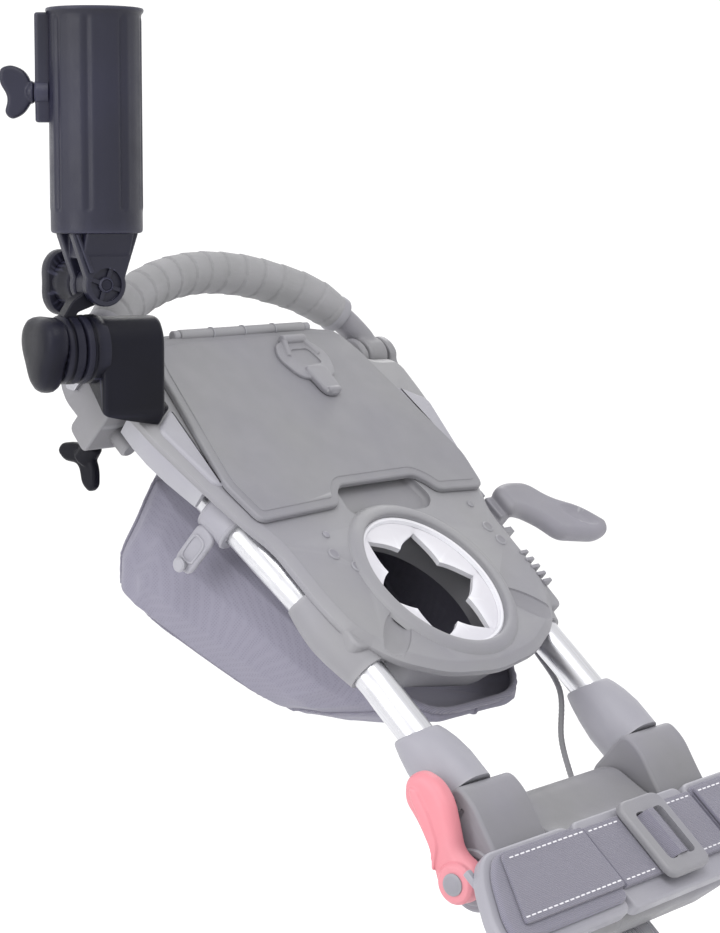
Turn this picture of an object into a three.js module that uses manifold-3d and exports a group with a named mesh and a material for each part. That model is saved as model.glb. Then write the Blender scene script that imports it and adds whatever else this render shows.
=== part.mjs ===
// Three-wheel folding golf push cart with an umbrella holder on the console.
// Millimetres. +Z up, +Y towards the user's handle, -Y the way it travels, +X the brake-lever side.
import * as THREE from "three";
import { mergeVertices } from "three/addons/utils/BufferGeometryUtils.js";
import Module from "manifold-3d";

const wasm = await Module();
wasm.setup();

// ---------- driving dimensions ----------
const slopeDeg = 42; // the frame line above the floor
const ringHeight = 850; // centre of the ball-holder ring, the origin of the upper frame
const tubeSpacing = 177.4; // the two upper tubes, centre to centre below the console
const tubeRadius = 10.5;
const tubeDrop = -19.3; // upper tube axes below the console's top plane
const ringRadius = 52.5;
const plateDepth = 8; // console top shell
const trayDepth = 32; // console underside below its top plane
const lidThickness = 4;
const gripRadius = 14;
const hingeY = -180; // main fold hinge, measured along the frame line
const hingeN = -32; // and square to it
const tubeX = tubeSpacing / 2;
const hingeHalf = tubeX - 31.7; // half width of the fixed hinge block
const cheekIn = hingeHalf + 3.5; // the folding cheeks stand outside it
const cheekOut = tubeX + 23.3;
const mainDrop = -62; // axis of the single lower tube
const mainHalf = 19;
const mainEndGap = 20.8; // from the front tyre to its front end, where the fork starts
const hubY = -430; // rear-leg hub on the lower tube
const legPivotN = -95;
const wheelRadius = 145; // to the corners of the tyre's facets
const wheelSides = 32;
const tyreWidth = 46;
const rearAxleY = 30;
const rearWheelX = 290;
const legFootX = rearWheelX - 43;
const legRadius = 13;
const holderX = -(tubeX + 69.3); // umbrella holder: tube axis
const holderY = 130;
const swivelZ = 144; // its swivel axis above the ring centre
const tiltZ = 182; // its tilt axis above the ring centre
const cupRadius = 27;
const cupWallDepth = 3.4;
const cupBore = cupRadius - cupWallDepth;
const cupBottom = 212;
const cupTop = 342.5;
const holderTurn = THREE.MathUtils.degToRad(-21.3); // the holder is set skew on its corner

const slope = THREE.MathUtils.degToRad(slopeDeg);
const cosS = Math.cos(slope);
const sinS = Math.sin(slope);
const gap = 0.35;
const axleZ = wheelRadius * Math.cos(Math.PI / wheelSides);
const frontAlong = (axleZ - ringHeight - mainDrop * cosS) / sinS; // front axle, along the frame line
const mainEnd = frontAlong + wheelRadius + mainEndGap;

// ---------- helpers ----------
const v3 = (x, y, z) => new THREE.Vector3(x, y, z);

function solid(geometry) {
  const g = geometry.clone();
  g.deleteAttribute("normal");
  g.deleteAttribute("uv");
  const merged = mergeVertices(g, 1e-3);
  return new wasm.Manifold(
    new wasm.Mesh({
      numProp: 3,
      vertProperties: merged.attributes.position.array,
      triVerts: new Uint32Array(merged.index.array),
    }),
  );
}

function geometryOf(manifold) {
  const m = manifold.getMesh();
  const n = m.numProp;
  const out = new Float32Array(m.numVert * 3);
  for (let i = 0; i < m.numVert; i++) out.set(m.vertProperties.subarray(i * n, i * n + 3), i * 3);
  const g = new THREE.BufferGeometry();
  g.setAttribute("position", new THREE.BufferAttribute(out, 3));
  g.setIndex(new THREE.BufferAttribute(new Uint32Array(m.triVerts), 1));
  return g;
}

const join = (...parts) => geometryOf(parts.map(solid).reduce((a, b) => a.add(b)));
const cut = (body, ...tools) => geometryOf(tools.map(solid).reduce((a, b) => a.subtract(b), solid(body)));

// From the upper frame's (across, along the tubes, square to the console) to the part's own axes.
const tilted = (g) => g.clone().rotateX(slope).translate(0, 0, ringHeight);
const tiltedPoint = (x, y, n) => v3(x, y * cosS - n * sinS, ringHeight + y * sinS + n * cosS);
// The umbrella holder is drawn upright from the ring centre.
const upright = (g) => g.clone().translate(0, 0, ringHeight);
const mirrored = (g) => {
  const m = g.clone().applyMatrix4(new THREE.Matrix4().makeScale(-1, 1, 1));
  const flat = m.index ? m.toNonIndexed() : m;
  const p = flat.attributes.position;
  for (let i = 0; i < p.count; i += 3) {
    const a = [p.getX(i + 1), p.getY(i + 1), p.getZ(i + 1)];
    p.setXYZ(i + 1, p.getX(i + 2), p.getY(i + 2), p.getZ(i + 2));
    p.setXYZ(i + 2, ...a);
  }
  flat.deleteAttribute("normal");
  return flat;
};

const box = (x0, x1, y0, y1, z0, z1) =>
  new THREE.BoxGeometry(x1 - x0, y1 - y0, z1 - z0).translate((x0 + x1) / 2, (y0 + y1) / 2, (z0 + z1) / 2);

// A closed outline with rounded corners.
function outline(points, r = 0, steps = 3) {
  const shape = new THREE.Shape();
  const pts = points.map((p) => new THREE.Vector2(...p));
  const out = [];
  pts.forEach((p, i) => {
    const a = pts[(i + pts.length - 1) % pts.length];
    const b = pts[(i + 1) % pts.length];
    const da = a.clone().sub(p);
    const db = b.clone().sub(p);
    const k = Math.min(r, da.length() * 0.45, db.length() * 0.45);
    if (k < 0.2) {
      out.push(p);
      return;
    }
    const s = p.clone().add(da.setLength(k));
    const e = p.clone().add(db.setLength(k));
    const arc = new THREE.QuadraticBezierCurve(s, p, e);
    out.push(...arc.getPoints(steps));
  });
  shape.setFromPoints(out);
  return shape;
}

function plate(shape, z0, z1, bevel = 0) {
  const depth = z1 - z0 - 2 * bevel;
  const g = new THREE.ExtrudeGeometry(shape, {
    depth,
    bevelEnabled: bevel > 0,
    bevelSize: bevel,
    bevelOffset: -bevel,
    bevelThickness: bevel,
    bevelSegments: 1,
    curveSegments: 8,
  });
  return g.translate(0, 0, z0 + bevel);
}

const mirrorHalf = (half) => [
  ...half,
  ...half
    .filter(([x]) => x > 0.01)
    .map(([x, y]) => [-x, y])
    .reverse(),
];

// A prism along X from an outline drawn in (y, z).
const prismX = (shape, x0, x1, bevel = 0) => {
  const g = plate(shape, x0, x1, bevel);
  return g.applyMatrix4(new THREE.Matrix4().makeBasis(v3(0, 1, 0), v3(0, 0, 1), v3(1, 0, 0)));
};
// A prism along Y from an outline drawn in (z, x).
const prismY = (shape, y0, y1, bevel = 0) => {
  const g = plate(shape, y0, y1, bevel);
  return g.applyMatrix4(new THREE.Matrix4().makeBasis(v3(0, 0, 1), v3(1, 0, 0), v3(0, 1, 0)));
};

function rod(a, b, r0, r1 = r0, sides = 16) {
  const d = b.clone().sub(a);
  const g = new THREE.CylinderGeometry(r1, r0, d.length(), sides);
  const q = new THREE.Quaternion().setFromUnitVectors(v3(0, 1, 0), d.clone().normalize());
  return g.applyQuaternion(q).translate((a.x + b.x) / 2, (a.y + b.y) / 2, (a.z + b.z) / 2);
}
const rodX = (x0, x1, y, z, r, sides = 20) => rod(v3(x0, y, z), v3(x1, y, z), r, r, sides);

// A bent round bar through the given points.
function bar(points, r, sides = 12, steps = 24) {
  const path = new THREE.CatmullRomCurve3(points, false, "centripetal");
  const section = new THREE.Shape();
  const ring = [];
  for (let i = 0; i < sides; i++) {
    const t = (2 * Math.PI * i) / sides;
    ring.push(new THREE.Vector2(r * Math.cos(t), r * Math.sin(t)));
  }
  section.setFromPoints(ring);
  return new THREE.ExtrudeGeometry(section, { steps, extrudePath: path, bevelEnabled: false });
}

// A turned body from (radius, height) pairs, its axis along Z, starting and ending on the axis or closed.
const turned = (pairs, sides = 24) => {
  const pts = pairs.map(([r, z]) => new THREE.Vector2(r, z));
  return new THREE.LatheGeometry(pts, sides).rotateX(Math.PI / 2);
};
// A turned ring: the profile is closed on itself, its points going round anticlockwise.
const ringOf = (pairs, sides = 24) => turned([...pairs, pairs[0]], sides);

// A rounded knob outline with lobes.
function lobes(count, low, high, turn = 0, steps = 24) {
  const s = new THREE.Shape();
  const pts = [];
  for (let i = 0; i < steps; i++) {
    const t = (2 * Math.PI * i) / steps;
    const r = (low + high) / 2 + ((high - low) / 2) * Math.cos(count * (t - turn));
    pts.push(new THREE.Vector2(r * Math.cos(t), r * Math.sin(t)));
  }
  s.setFromPoints(pts);
  return s;
}

// ---------- materials ----------
const paint = (color, roughness, metalness = 0) => new THREE.MeshStandardMaterial({ color, roughness, metalness });
const mats = {
  shell: () => paint(0x8b8b8f, 0.55),
  shellDark: () => paint(0x747478, 0.6),
  lidGrey: () => paint(0x84848a, 0.5),
  alu: () => paint(0xdcdce2, 0.3, 0.9),
  light: () => paint(0xe4e2ec, 0.6),
  foam: () => paint(0x8d8d90, 0.85),
  net: () => paint(0x77747f, 0.9),
  coral: () => paint(0xe8727a, 0.45),
  black: () => paint(0x15151c, 0.4),
  strap: () => paint(0x6f6d80, 0.85),
  tyre: () => paint(0x5c5c60, 0.9),
  steel: () => paint(0xb9bac0, 0.35, 0.9),
};

const root = new THREE.Group();
root.name = "golf_push_cart";
function add(name, geometry, material) {
  const mesh = new THREE.Mesh(geometry, mats[material]());
  mesh.name = name;
  root.add(mesh);
  return mesh;
}

// ---------- upper frame: tubes, boots, hinge cheeks ----------
const tubeBow = (y) => tubeX + Math.max(0, (y + 45) * 0.123);
const tubeTop = 167;
for (const [side, name] of [
  [-1, "left"],
  [1, "right"],
]) {
  const pts = [-135.8, -70, -45, 0, 60, 120, tubeTop].map((y) => tiltedPoint(side * tubeBow(y), y, tubeDrop));
  add("upper_tube_" + name, bar(pts, tubeRadius, 12, 9), "alu");
}

// A boot is a flared sleeve round the tube's foot; its mouth is left 0.4 mm clear of the tube.
const bootProfile = [
  [tubeRadius + 0.4, 0],
  [19, 0],
  [18.5, 18],
  [15.5, 40],
  [13.6, 46],
  [tubeRadius + 0.4, 46],
];
const bootRight = tilted(
  ringOf(bootProfile, 18)
    .rotateX(-Math.PI / 2)
    .translate(tubeX, -136, tubeDrop),
);
add("boot_right", bootRight, "shellDark");
add("boot_left", mirrored(bootRight), "shellDark");

const cheekSide = outline(
  [
    [-136.5, -40],
    [-136.5, -2],
    [-152, -1],
    [-174, -8],
    [-190, -12],
    [-200, -22],
    [-201, -38],
    [-192, -50],
    [-178, -53],
    [-160, -48],
  ],
  5,
  2,
);
const pinRadius = 5;
const cheekRight = cut(
  prismX(cheekSide, cheekIn, cheekOut, 1.5),
  rodX(cheekIn - 5, cheekOut + 5, hingeY, hingeN, pinRadius + gap, 14),
);
add("cheek_right", tilted(cheekRight), "shellDark");
add("cheek_left", tilted(mirrored(cheekRight)), "shellDark");

// ---------- console ----------
const consoleHalf = [
  [0, -72],
  [45, -66],
  [tubeX - 8.7, -50],
  [tubeX + 13.3, -26],
  [tubeX + 18.3, 0],
  [tubeX + 19.3, 45],
  [tubeX + 28.3, 64],
  [tubeX + 37.3, 92],
  [tubeX + 50.3, 145],
  [tubeX + 53.3, 178],
  [tubeX + 47.3, 186],
  [tubeX + 23.3, 187],
  [tubeX + 11.3, 198],
  [tubeX + 3.3, 218],
  [tubeX - 28.7, 222],
  [0, 222],
];
const trayHalf = [
  [0, -64],
  [tubeX - 22.7, -52],
  [tubeX - 12.7, -38],
  [tubeX - 11.7, -20],
  [tubeX - 7.7, 40],
  [tubeX - 0.7, 100],
  [tubeX + 6.3, 160],
  [tubeX + 3.3, 196],
  [tubeX - 28.7, 208],
  [0, 208],
];
const boltX = -(tubeX + 47.3); // umbrella holder bolt, square to the console through its left corner
const boltY = 172;
const ringWall = new THREE.CylinderGeometry(ringRadius, ringRadius, 80, 36).rotateX(Math.PI / 2);
const ringRim = ringOf(
  [
    [ringRadius - 0.2, -1],
    [ringRadius + 9, -1],
    [ringRadius + 7, 2.6],
    [ringRadius + 2, 4],
    [ringRadius - 0.2, 2.4],
  ],
  36,
);
const pocketHalf = [
  [0, 84],
  [tubeX - 10.7, 84],
  [tubeX - 4.7, 150],
  [tubeX - 8.7, 190],
  [0, 196],
];
const consoleBase = cut(
  join(
    plate(outline(mirrorHalf(consoleHalf), 9, 2), -plateDepth, 0, 1.2),
    plate(outline(mirrorHalf(trayHalf), 6, 2), -trayDepth, -plateDepth + 1),
    ringRim,
  ),
  ringWall,
  plate(outline(mirrorHalf(pocketHalf), 8, 2), -trayDepth + 4, 5),
  rod(v3(boltX, boltY, -20), v3(boltX, boltY, 5), 4.2, 4.2, 12),
  ...[30.7 - tubeX, 19.7 - tubeX, tubeX + 1.3, tubeX - 0.7].map((x, i) => rod(v3(x, i % 2 ? 31 : 19, -7), v3(x, i % 2 ? 31 : 19, 5), 2.6, 2.6, 8)),
  prismX(outline([[38, -5], [58, -5], [58, 6], [38, 6]]), -30, 34),
);
add("console_base", tilted(consoleBase), "shell");

// The star-mouthed insert that holds balls: six soft flaps round a star opening.
const insertShape = new THREE.Shape();
insertShape.setFromPoints(
  Array.from({ length: 36 }, (_, i) => {
    const t = (2 * Math.PI * i) / 36;
    return new THREE.Vector2((ringRadius - gap) * Math.cos(t), (ringRadius - gap) * Math.sin(t));
  }),
);
const starHole = new THREE.Path();
starHole.setFromPoints(
  Array.from({ length: 12 }, (_, i) => {
    const t = (Math.PI * i) / 6 + Math.PI / 6;
    const r = i % 2 ? 34 : 47;
    return new THREE.Vector2(r * Math.cos(t), r * Math.sin(t));
  }),
);
insertShape.holes.push(starHole);
add("star_insert", tilted(plate(insertShape, -7, -3)), "light");

const lidPlane = 0.4;
const lidOutline = [
  [-(tubeX + 22.3), 61],
  [-36, 64],
  [-30, 73],
  [-22, 79],
  [52, 79],
  [60, 73],
  [66, 64],
  [tubeX + 22.3, 61],
  [tubeX + 29.3, 92],
  [tubeX + 10.3, 190],
  [tubeX + 1.3, 210],
  [62, 213],
  [-62, 213],
  [-(tubeX + 1.3), 210],
  [-(tubeX + 10.3), 190],
  [-(tubeX + 29.3), 92],
];
const lidBarrel = rod(v3(-60, 214, 4.2), v3(60, 214, 4.2), 3.4, 3.4, 12);
const lid = join(plate(outline(lidOutline, 4, 2), lidPlane, lidPlane + lidThickness, 1), lidBarrel);
add("console_lid", tilted(lid), "lidGrey");
const clipPlane = lidPlane + lidThickness + gap;
const clip = join(
  plate(outline([[20, 167], [50, 167], [58, 186], [50, 200], [20, 200], [12, 186]], 6, 3), clipPlane, clipPlane + 3),
  rod(v3(26, 200, clipPlane + 3.5), v3(44, 200, clipPlane + 3.5), 3.2, 3.2, 12),
  plate(outline([[28, 158], [42, 158], [42, 172], [28, 172]], 4, 2), clipPlane + 1, clipPlane + 5),
);
add("scorecard_clip", tilted(clip), "shell");

// ---------- handle ----------
const handleY = 200;
const handleN = -14;
const bowPoints = [
  [tubeX + 44.3, 203, -12],
  [tubeX + 41.3, 212, -8],
  [tubeX + 23.3, 228, 0],
  [86, 243, 6],
  [55, 255, 8],
  [30, 261, 9],
  [0, 264, 9],
];
const bowPath = [...bowPoints, ...bowPoints.slice(0, -1).reverse().map(([x, y, n]) => [-x, y, n])];
const bowVectors = bowPath.map(([x, y, n]) => v3(x, y, n));
const bow = join(
  bar(bowVectors, 9, 10, 26),
  rodX(tubeX + 33.3, tubeX + 52.3, handleY, handleN, 12.5, 14),
  rodX(-tubeX - 52.3, -tubeX - 33.3, handleY, handleN, 12.5, 14),
);
const boltHoles = [
  rodX(tubeX + 26.3, tubeX + 61.3, handleY, handleN, 3.4, 8),
  rodX(-tubeX - 61.3, -tubeX - 26.3, handleY, handleN, 3.4, 8),
];
add("handle_bow", tilted(cut(bow, ...boltHoles)), "shellDark");
const grip = cut(bar(bowVectors.slice(2, -2), gripRadius, 14, 18), bar(bowVectors, 9.5, 10, 26));
add("handle_grip", tilted(grip), "foam");

const earSide = outline(
  [[176, -30], [176, -9], [190, -9], [191, -3], [200, -1.6], [209, -4], [213, -14], [209, -25], [198, -29]],
  3,
  1,
);
const bracket = cut(
  join(
    prismX(outline([[168, -42], [168, -8.4], [185.4, -8.4], [185.4, -40]], 3, 1), tubeX + 23.3, tubeX + 60.3),
    prismX(earSide, tubeX + 53.3, tubeX + 60.3),
    prismX(earSide, tubeX + 23.7, tubeX + 29.7),
  ),
  rodX(tubeX + 11.3, tubeX + 71.3, handleY, handleN, 3.4, 8),
  rod(v3(-boltX, boltY, -60), v3(-boltX, boltY, 5), 4.2, 4.2, 10),
);
add("handle_bracket_right", tilted(bracket), "shellDark");
add("handle_bracket_left", tilted(mirrored(bracket)), "shellDark");
const handleBolt = join(
  rodX(tubeX + 22.8, tubeX + 61.3, handleY, handleN, 3, 8),
  rodX(tubeX + 60.7, tubeX + 64.3, handleY, handleN, 6.5, 6),
  rodX(tubeX + 19.8, tubeX + 23.3, handleY, handleN, 6, 6),
);
add("handle_bolt_right", tilted(handleBolt), "steel");
add("handle_bolt_left", mirrored(tilted(handleBolt)), "steel");

// ---------- brake lever and its cable ----------
const leverAxisX = tubeX + 32.8;
const leverAxisN = -16;
const leverBracket = cut(
  join(
    box(leverAxisX - 7.7, leverAxisX + 4.5, 30, 34.4, -25, -9),
    box(leverAxisX - 7.7, leverAxisX + 4.5, 62.4, 67, -25, -9),
    box(leverAxisX - 7.7, leverAxisX - 5.1, 30, 67, -25, -9),
  ),
  rod(v3(leverAxisX, 20, leverAxisN), v3(leverAxisX, 75, leverAxisN), 2.9, 2.9, 10),
);
add("brake_bracket", tilted(leverBracket), "shellDark");
const leverBlade = outline(
  [
    [leverAxisX + 5.5, 41],
    [leverAxisX + 5.5, 61],
    [leverAxisX + 19.5, 65],
    [leverAxisX + 40.5, 63],
    [leverAxisX + 52.5, 48],
    [leverAxisX + 77.5, 36],
    [leverAxisX + 92.5, 19],
    [leverAxisX + 87.5, 11],
    [leverAxisX + 72.5, 8],
    [leverAxisX + 36.5, 15],
    [leverAxisX + 28.5, 29],
    [leverAxisX + 16.5, 39],
  ],
  6,
  2,
);
const leverHole = rod(v3(leverAxisX, 20, leverAxisN), v3(leverAxisX, 75, leverAxisN), 2.9, 2.9, 10);
const lever = cut(
  join(
    plate(leverBlade, -11, 2, 2.5),
    box(leverAxisX, leverAxisX + 12.5, 42, 60, leverAxisN - 3, -8),
    rod(v3(leverAxisX, 35.5, leverAxisN), v3(leverAxisX, 61.5, leverAxisN), 4.6, 4.6, 12),
  ),
  leverHole,
);
add("brake_lever", tilted(lever), "shellDark");
add(
  "brake_pivot_pin",
  tilted(rod(v3(leverAxisX, 29, leverAxisN), v3(leverAxisX, 68, leverAxisN), 2.5, 2.5, 10)),
  "steel",
);
// The cable leaves the bracket, follows the right tube and drops into the hinge block.
const cablePoints = [
  [leverAxisX - 3.5, 28.4, -20],
  [115, 14, -29],
  [103, -10, -34],
  [93, -44, -34],
  [88, -78, -36],
  [73, -106, -49],
  [hingeHalf - 5, -139.2, -50],
];
add("brake_cable", tilted(bar(cablePoints.map((p) => v3(...p)), 1.9, 6, 24)), "shellDark");

// ---------- net bag under the console and the two hooks that carry it ----------
function loft(rings) {
  const n = rings[0].length;
  const pos = [];
  const idx = [];
  rings.forEach((ring) => ring.forEach((p) => pos.push(...p)));
  for (let k = 0; k + 1 < rings.length; k++)
    for (let i = 0; i < n; i++) {
      const a = k * n + i;
      const b = k * n + ((i + 1) % n);
      idx.push(a, b, b + n, a, b + n, a + n);
    }
  const centre = (ring) => ring.reduce((s, p) => s.map((c, i) => c + p[i] / n), [0, 0, 0]);
  const first = pos.length / 3;
  pos.push(...centre(rings[0]), ...centre(rings[rings.length - 1]));
  const base = (rings.length - 1) * n;
  for (let i = 0; i < n; i++) {
    const j = (i + 1) % n;
    idx.push(first, j, i, first + 1, base + i, base + j);
  }
  const g = new THREE.BufferGeometry();
  g.setAttribute("position", new THREE.Float32BufferAttribute(pos, 3));
  g.setIndex(idx);
  return g;
}
const bagRing = (half, y0, y1, n0, n1, wide) => {
  const pts = [];
  const steps = 24;
  for (let i = 0; i < steps; i++) {
    const t = (2 * Math.PI * i) / steps;
    const c = Math.cos(t);
    const s = Math.sin(t);
    const px = Math.sign(c) * Math.abs(c) ** 0.42;
    const py = Math.sign(s) * Math.abs(s) ** 0.42;
    const y = (y0 + y1) / 2 + (py * (y1 - y0)) / 2;
    const k = (y - y0) / (y1 - y0);
    pts.push([px * (half + wide * k), y, n0 + (n1 - n0) * k]);
  }
  return pts;
};
const bag = loft([
  bagRing(tubeX - 26.7, -8, 118, -106, -124, 42),
  bagRing(tubeX - 17.7, -20, 133, -98, -121, 46),
  bagRing(tubeX - 15.7, -42, 146, -78, -106, 46),
  bagRing(tubeX - 16.7, -64, 158, -55, -78, 42),
  bagRing(tubeX - 20.7, -78, 167, -38, -58, 37),
  bagRing(tubeX - 28.7, -74, 156, -32.8, -46, 34),
]);
add("net_bag", tilted(bag), "net");
const hookY = 84;
const hookX = tubeBow(hookY);
const hookSleeve = ringOf(
  [
    [tubeRadius + 0.5, 0],
    [tubeRadius + 4.2, 0],
    [tubeRadius + 4.2, 22],
    [tubeRadius + 0.5, 22],
  ],
  16,
)
  .rotateX(-Math.PI / 2)
  .rotateZ(-Math.atan(0.123))
  .translate(hookX, hookY - 11, tubeDrop);
const hookRight = cut(
  join(hookSleeve, prismX(outline([[hookY - 8, -62], [hookY - 8, -30], [hookY + 8, -30], [hookY + 8, -62]], 5, 2), hookX + 8, hookX + 13)),
  rod(v3(hookX - 0.123 * 40, hookY - 40, tubeDrop), v3(hookX + 0.123 * 40, hookY + 40, tubeDrop), tubeRadius + 0.5, tubeRadius + 0.5, 16),
  box(60, 150, 40, 120, -8.9, 20),
);
add("bag_hook_right", tilted(hookRight), "shellDark");
add("bag_hook_left", mirrored(tilted(hookRight)), "shellDark");

// ---------- hinge block, its pin, the latch lever and the bag saddle ----------
const blockSide = outline(
  [
    [-140, -56],
    [-141, -28],
    [-149, -19],
    [-176, -13],
    [-186, -5],
    [-240, -5],
    [-246, -12],
    [-240, -42.5],
    [-150, -62],
  ],
  4,
  2,
);
const hingeBlock = cut(
  prismX(blockSide, -hingeHalf, hingeHalf, 1.5),
  rodX(-80, 80, hingeY, hingeN, pinRadius + gap, 14),
  box(-mainHalf - gap, mainHalf + gap, -300, -196, mainDrop - mainHalf - gap, mainDrop + mainHalf + gap),
  rod(v3(hingeHalf - 5, -150, -50), v3(hingeHalf - 5, -130, -50), 3, 3, 10),
);
add("hinge_block", tilted(hingeBlock), "shellDark");
const hingePin = join(rodX(-cheekOut - 1.5, cheekOut + 1.5, hingeY, hingeN, pinRadius, 14), rodX(cheekOut + 0.6, cheekOut + 5, hingeY, hingeN, 9, 6));
add("hinge_pin", tilted(hingePin), "steel");

// The latch lever turns on the hinge line, outside the left cheek.
const latchSide = outline(
  [
    [-171, -45],
    [-157, -36],
    [-139, -30],
    [-124, -28],
    [-116, -18],
    [-119, -7],
    [-131, -2],
    [-144, -4],
    [-158, -13],
    [-168, -20],
    [-182, -17],
    [-193, -26],
    [-192, -38],
    [-182, -46],
  ],
  6,
  2,
);
const latch = cut(
  join(
    prismX(latchSide, -cheekOut - 16, -cheekOut - 2.2, 3),
    rodX(-cheekOut - 19, -cheekOut - 2.2, hingeY, hingeN, 12, 16),
  ),
  rodX(-cheekOut - 8, -cheekOut - 1, hingeY, hingeN, pinRadius + gap, 14),
);
add("latch_lever", tilted(latch), "coral");

const wing = (x0, x1) =>
  join(
    plate(outline([[x0, -184], [x0, -246], [x1, -246], [x1 - 3, -224], [x1 - 19, -197], [x1 - 34, -184]], 6, 2), -4, 5, 1.2),
    box(cheekIn + 1, cheekOut - 8, -199, -191.5, -11.4, -3),
  );
const wingRight = wing(cheekIn, cheekOut + 64);
add("saddle_wing_right", tilted(wingRight), "shell");
add("saddle_wing_left", tilted(mirrored(wingRight)), "shell");
add(
  "saddle_centre",
  tilted(plate(outline([[-hingeHalf, -184], [-hingeHalf, -246], [hingeHalf, -246], [hingeHalf, -184]], 4, 2), -4, 5, 1.2)),
  "shell",
);
const padShape = outline([[cheekIn, -188], [cheekIn, -240], [cheekOut + 57, -240], [cheekOut + 55, -226], [cheekOut + 40, -200], [cheekOut + 26, -188]], 4, 2);
const padRight = plate(padShape, 5 + gap, 9);
add("saddle_pad_right", tilted(padRight), "strap");
add("saddle_pad_left", tilted(mirrored(padRight)), "strap");
const strapRight = plate(outline([[cheekIn, -191], [cheekIn, -233], [cheekOut + 45, -233], [cheekOut + 25, -191]], 2, 1), 9 + gap, 11.4);
add("strap_right", tilted(strapRight), "strap");
add("strap_left", tilted(mirrored(strapRight)), "strap");
add("strap_centre", tilted(box(-hingeHalf, hingeHalf, -233, -191, 5 + gap, 9)), "strap");
const buckle = cut(
  plate(outline([[-22, -186], [-22, -240], [22, -240], [22, -186]], 5, 2), 9 + gap, 15, 1),
  box(-14, -4, -230, -196, 11, 20),
  box(4, 14, -230, -196, 11, 20),
);
add("strap_buckle", tilted(buckle), "shellDark");

// ---------- lower frame ----------
const mainTube = cut(
  prismX(
    outline(
      [
        [mainEnd, mainDrop - mainHalf],
        [-198, mainDrop - mainHalf],
        [-198, mainDrop + mainHalf],
        [mainEnd, mainDrop + mainHalf],
      ],
      0,
    ),
    -mainHalf,
    mainHalf,
    3,
  ),
  rodX(-60, 60, hubY, legPivotN, 7, 12),
);
add("main_tube", tilted(mainTube), "alu");

const hubSide = outline(
  [
    [hubY - 34, mainDrop + mainHalf + gap],
    [hubY + 34, mainDrop + mainHalf + gap],
    [hubY + 34, -88],
    [hubY + 18, -112],
    [hubY - 18, -112],
    [hubY - 34, -88],
  ],
  5,
  2,
);
const legHub = cut(
  prismX(hubSide, -34, 34, 1.5),
  box(-mainHalf - gap, mainHalf + gap, hubY - 60, hubY + 60, mainDrop - mainHalf - gap, mainDrop + 60),
  rodX(-60, 60, hubY, legPivotN, 5.4, 14),
);
add("leg_hub", tilted(legHub), "shellDark");
const pivotY = hubY * cosS - legPivotN * sinS;
const pivotZ = ringHeight + hubY * sinS + legPivotN * cosS;
const legPin = rodX(-59, 59, pivotY, pivotZ, 5, 14);
add("leg_pivot_pin", legPin, "steel");

const legTop = v3(47, pivotY, pivotZ);
const legFoot = v3(legFootX, rearAxleY, axleZ);
const legRight = cut(
  join(
    rodX(34.6, 59.4, pivotY, pivotZ, 19, 18),
    rod(legTop, legFoot, legRadius, legRadius, 14),
    rodX(legFootX - 16, legFootX + 15, rearAxleY, axleZ, 17, 16),
    rodX(legFootX + 10, rearWheelX + 18, rearAxleY, axleZ, 6, 12),
  ),
  rodX(20, 80, pivotY, pivotZ, 5 + gap, 14),
);
add("leg_right", legRight, "alu");
add("leg_left", mirrored(legRight), "alu");

// ---------- wheels ----------
const tyreHalf = tyreWidth / 2;
const tyreProfile = [
  [wheelRadius - 26, -tyreHalf + 5],
  [wheelRadius - 13, -tyreHalf],
  [wheelRadius, -11],
  [wheelRadius, 11],
  [wheelRadius - 13, tyreHalf],
  [wheelRadius - 26, tyreHalf - 5],
];
// Both are turned about X and rolled half a facet, so a flat meets the floor.
const ontoAxle = (g, x, y, z) =>
  g
    .rotateY(Math.PI / 2)
    .rotateX(Math.PI / wheelSides)
    .translate(x, y, z);
const tyreGeometry = () => ringOf(tyreProfile, wheelSides);
const rimOuter = (wheelRadius - 26) * Math.cos(Math.PI / wheelSides) - gap;
function rimGeometry(bore, capSide = 0) {
  const hoop = ringOf(
    [
      [rimOuter - 13, -15],
      [rimOuter, -17],
      [rimOuter, 17],
      [rimOuter - 13, 15],
    ],
    wheelSides,
  );
  const hub = ringOf(
    [
      [bore, -20],
      [23, -20],
      [23, 20],
      [bore, 20],
    ],
    14,
  );
  const spokes = [];
  for (let i = 0; i < 3; i++) {
    const a = (2 * Math.PI * i) / 3;
    const spoke = plate(outline([[19, -13], [rimOuter - 8, -22], [rimOuter - 8, 22], [19, 13]]), -9, 9, 2);
    spokes.push(spoke.rotateZ(a));
  }
  const cap = turned([[0, 19.7], [16, 19.7], [13, 29], [0, 31]], 14);
  if (capSide < 0) cap.rotateY(Math.PI);
  return capSide ? join(hoop, hub, ...spokes, cap) : join(hoop, hub, ...spokes);
}
for (const [side, name] of [
  [-1, "left"],
  [1, "right"],
]) {
  add("rear_tyre_" + name, ontoAxle(tyreGeometry(), side * rearWheelX, rearAxleY, axleZ), "tyre");
  add("rear_rim_" + name, ontoAxle(rimGeometry(6.5, side), side * rearWheelX, rearAxleY, axleZ), "shell");
}
const frontY = frontAlong * cosS - mainDrop * sinS;
add("front_tyre", ontoAxle(tyreGeometry(), 0, frontY, axleZ), "tyre");
add("front_rim", ontoAxle(rimGeometry(6.5), 0, frontY, axleZ), "shell");
const frontAxle = join(rodX(-47, 47, frontY, axleZ, 6, 12), rodX(-50, -45.4, frontY, axleZ, 11, 6), rodX(45.4, 50, frontY, axleZ, 11, 6));
add("front_axle", frontAxle, "steel");
const forkArm = cut(
  prismX(
    outline(
      [
        [mainEnd - 1, mainDrop + 22],
        [mainEnd - 1, mainDrop - 22],
        [frontAlong - 4, mainDrop - 15],
        [frontAlong - 15, mainDrop],
        [frontAlong - 4, mainDrop + 15],
      ],
      8,
      2,
    ),
    33,
    44,
    1.5,
  ),
  rodX(20, 60, frontAlong, mainDrop, 6 + gap, 12),
);
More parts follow.
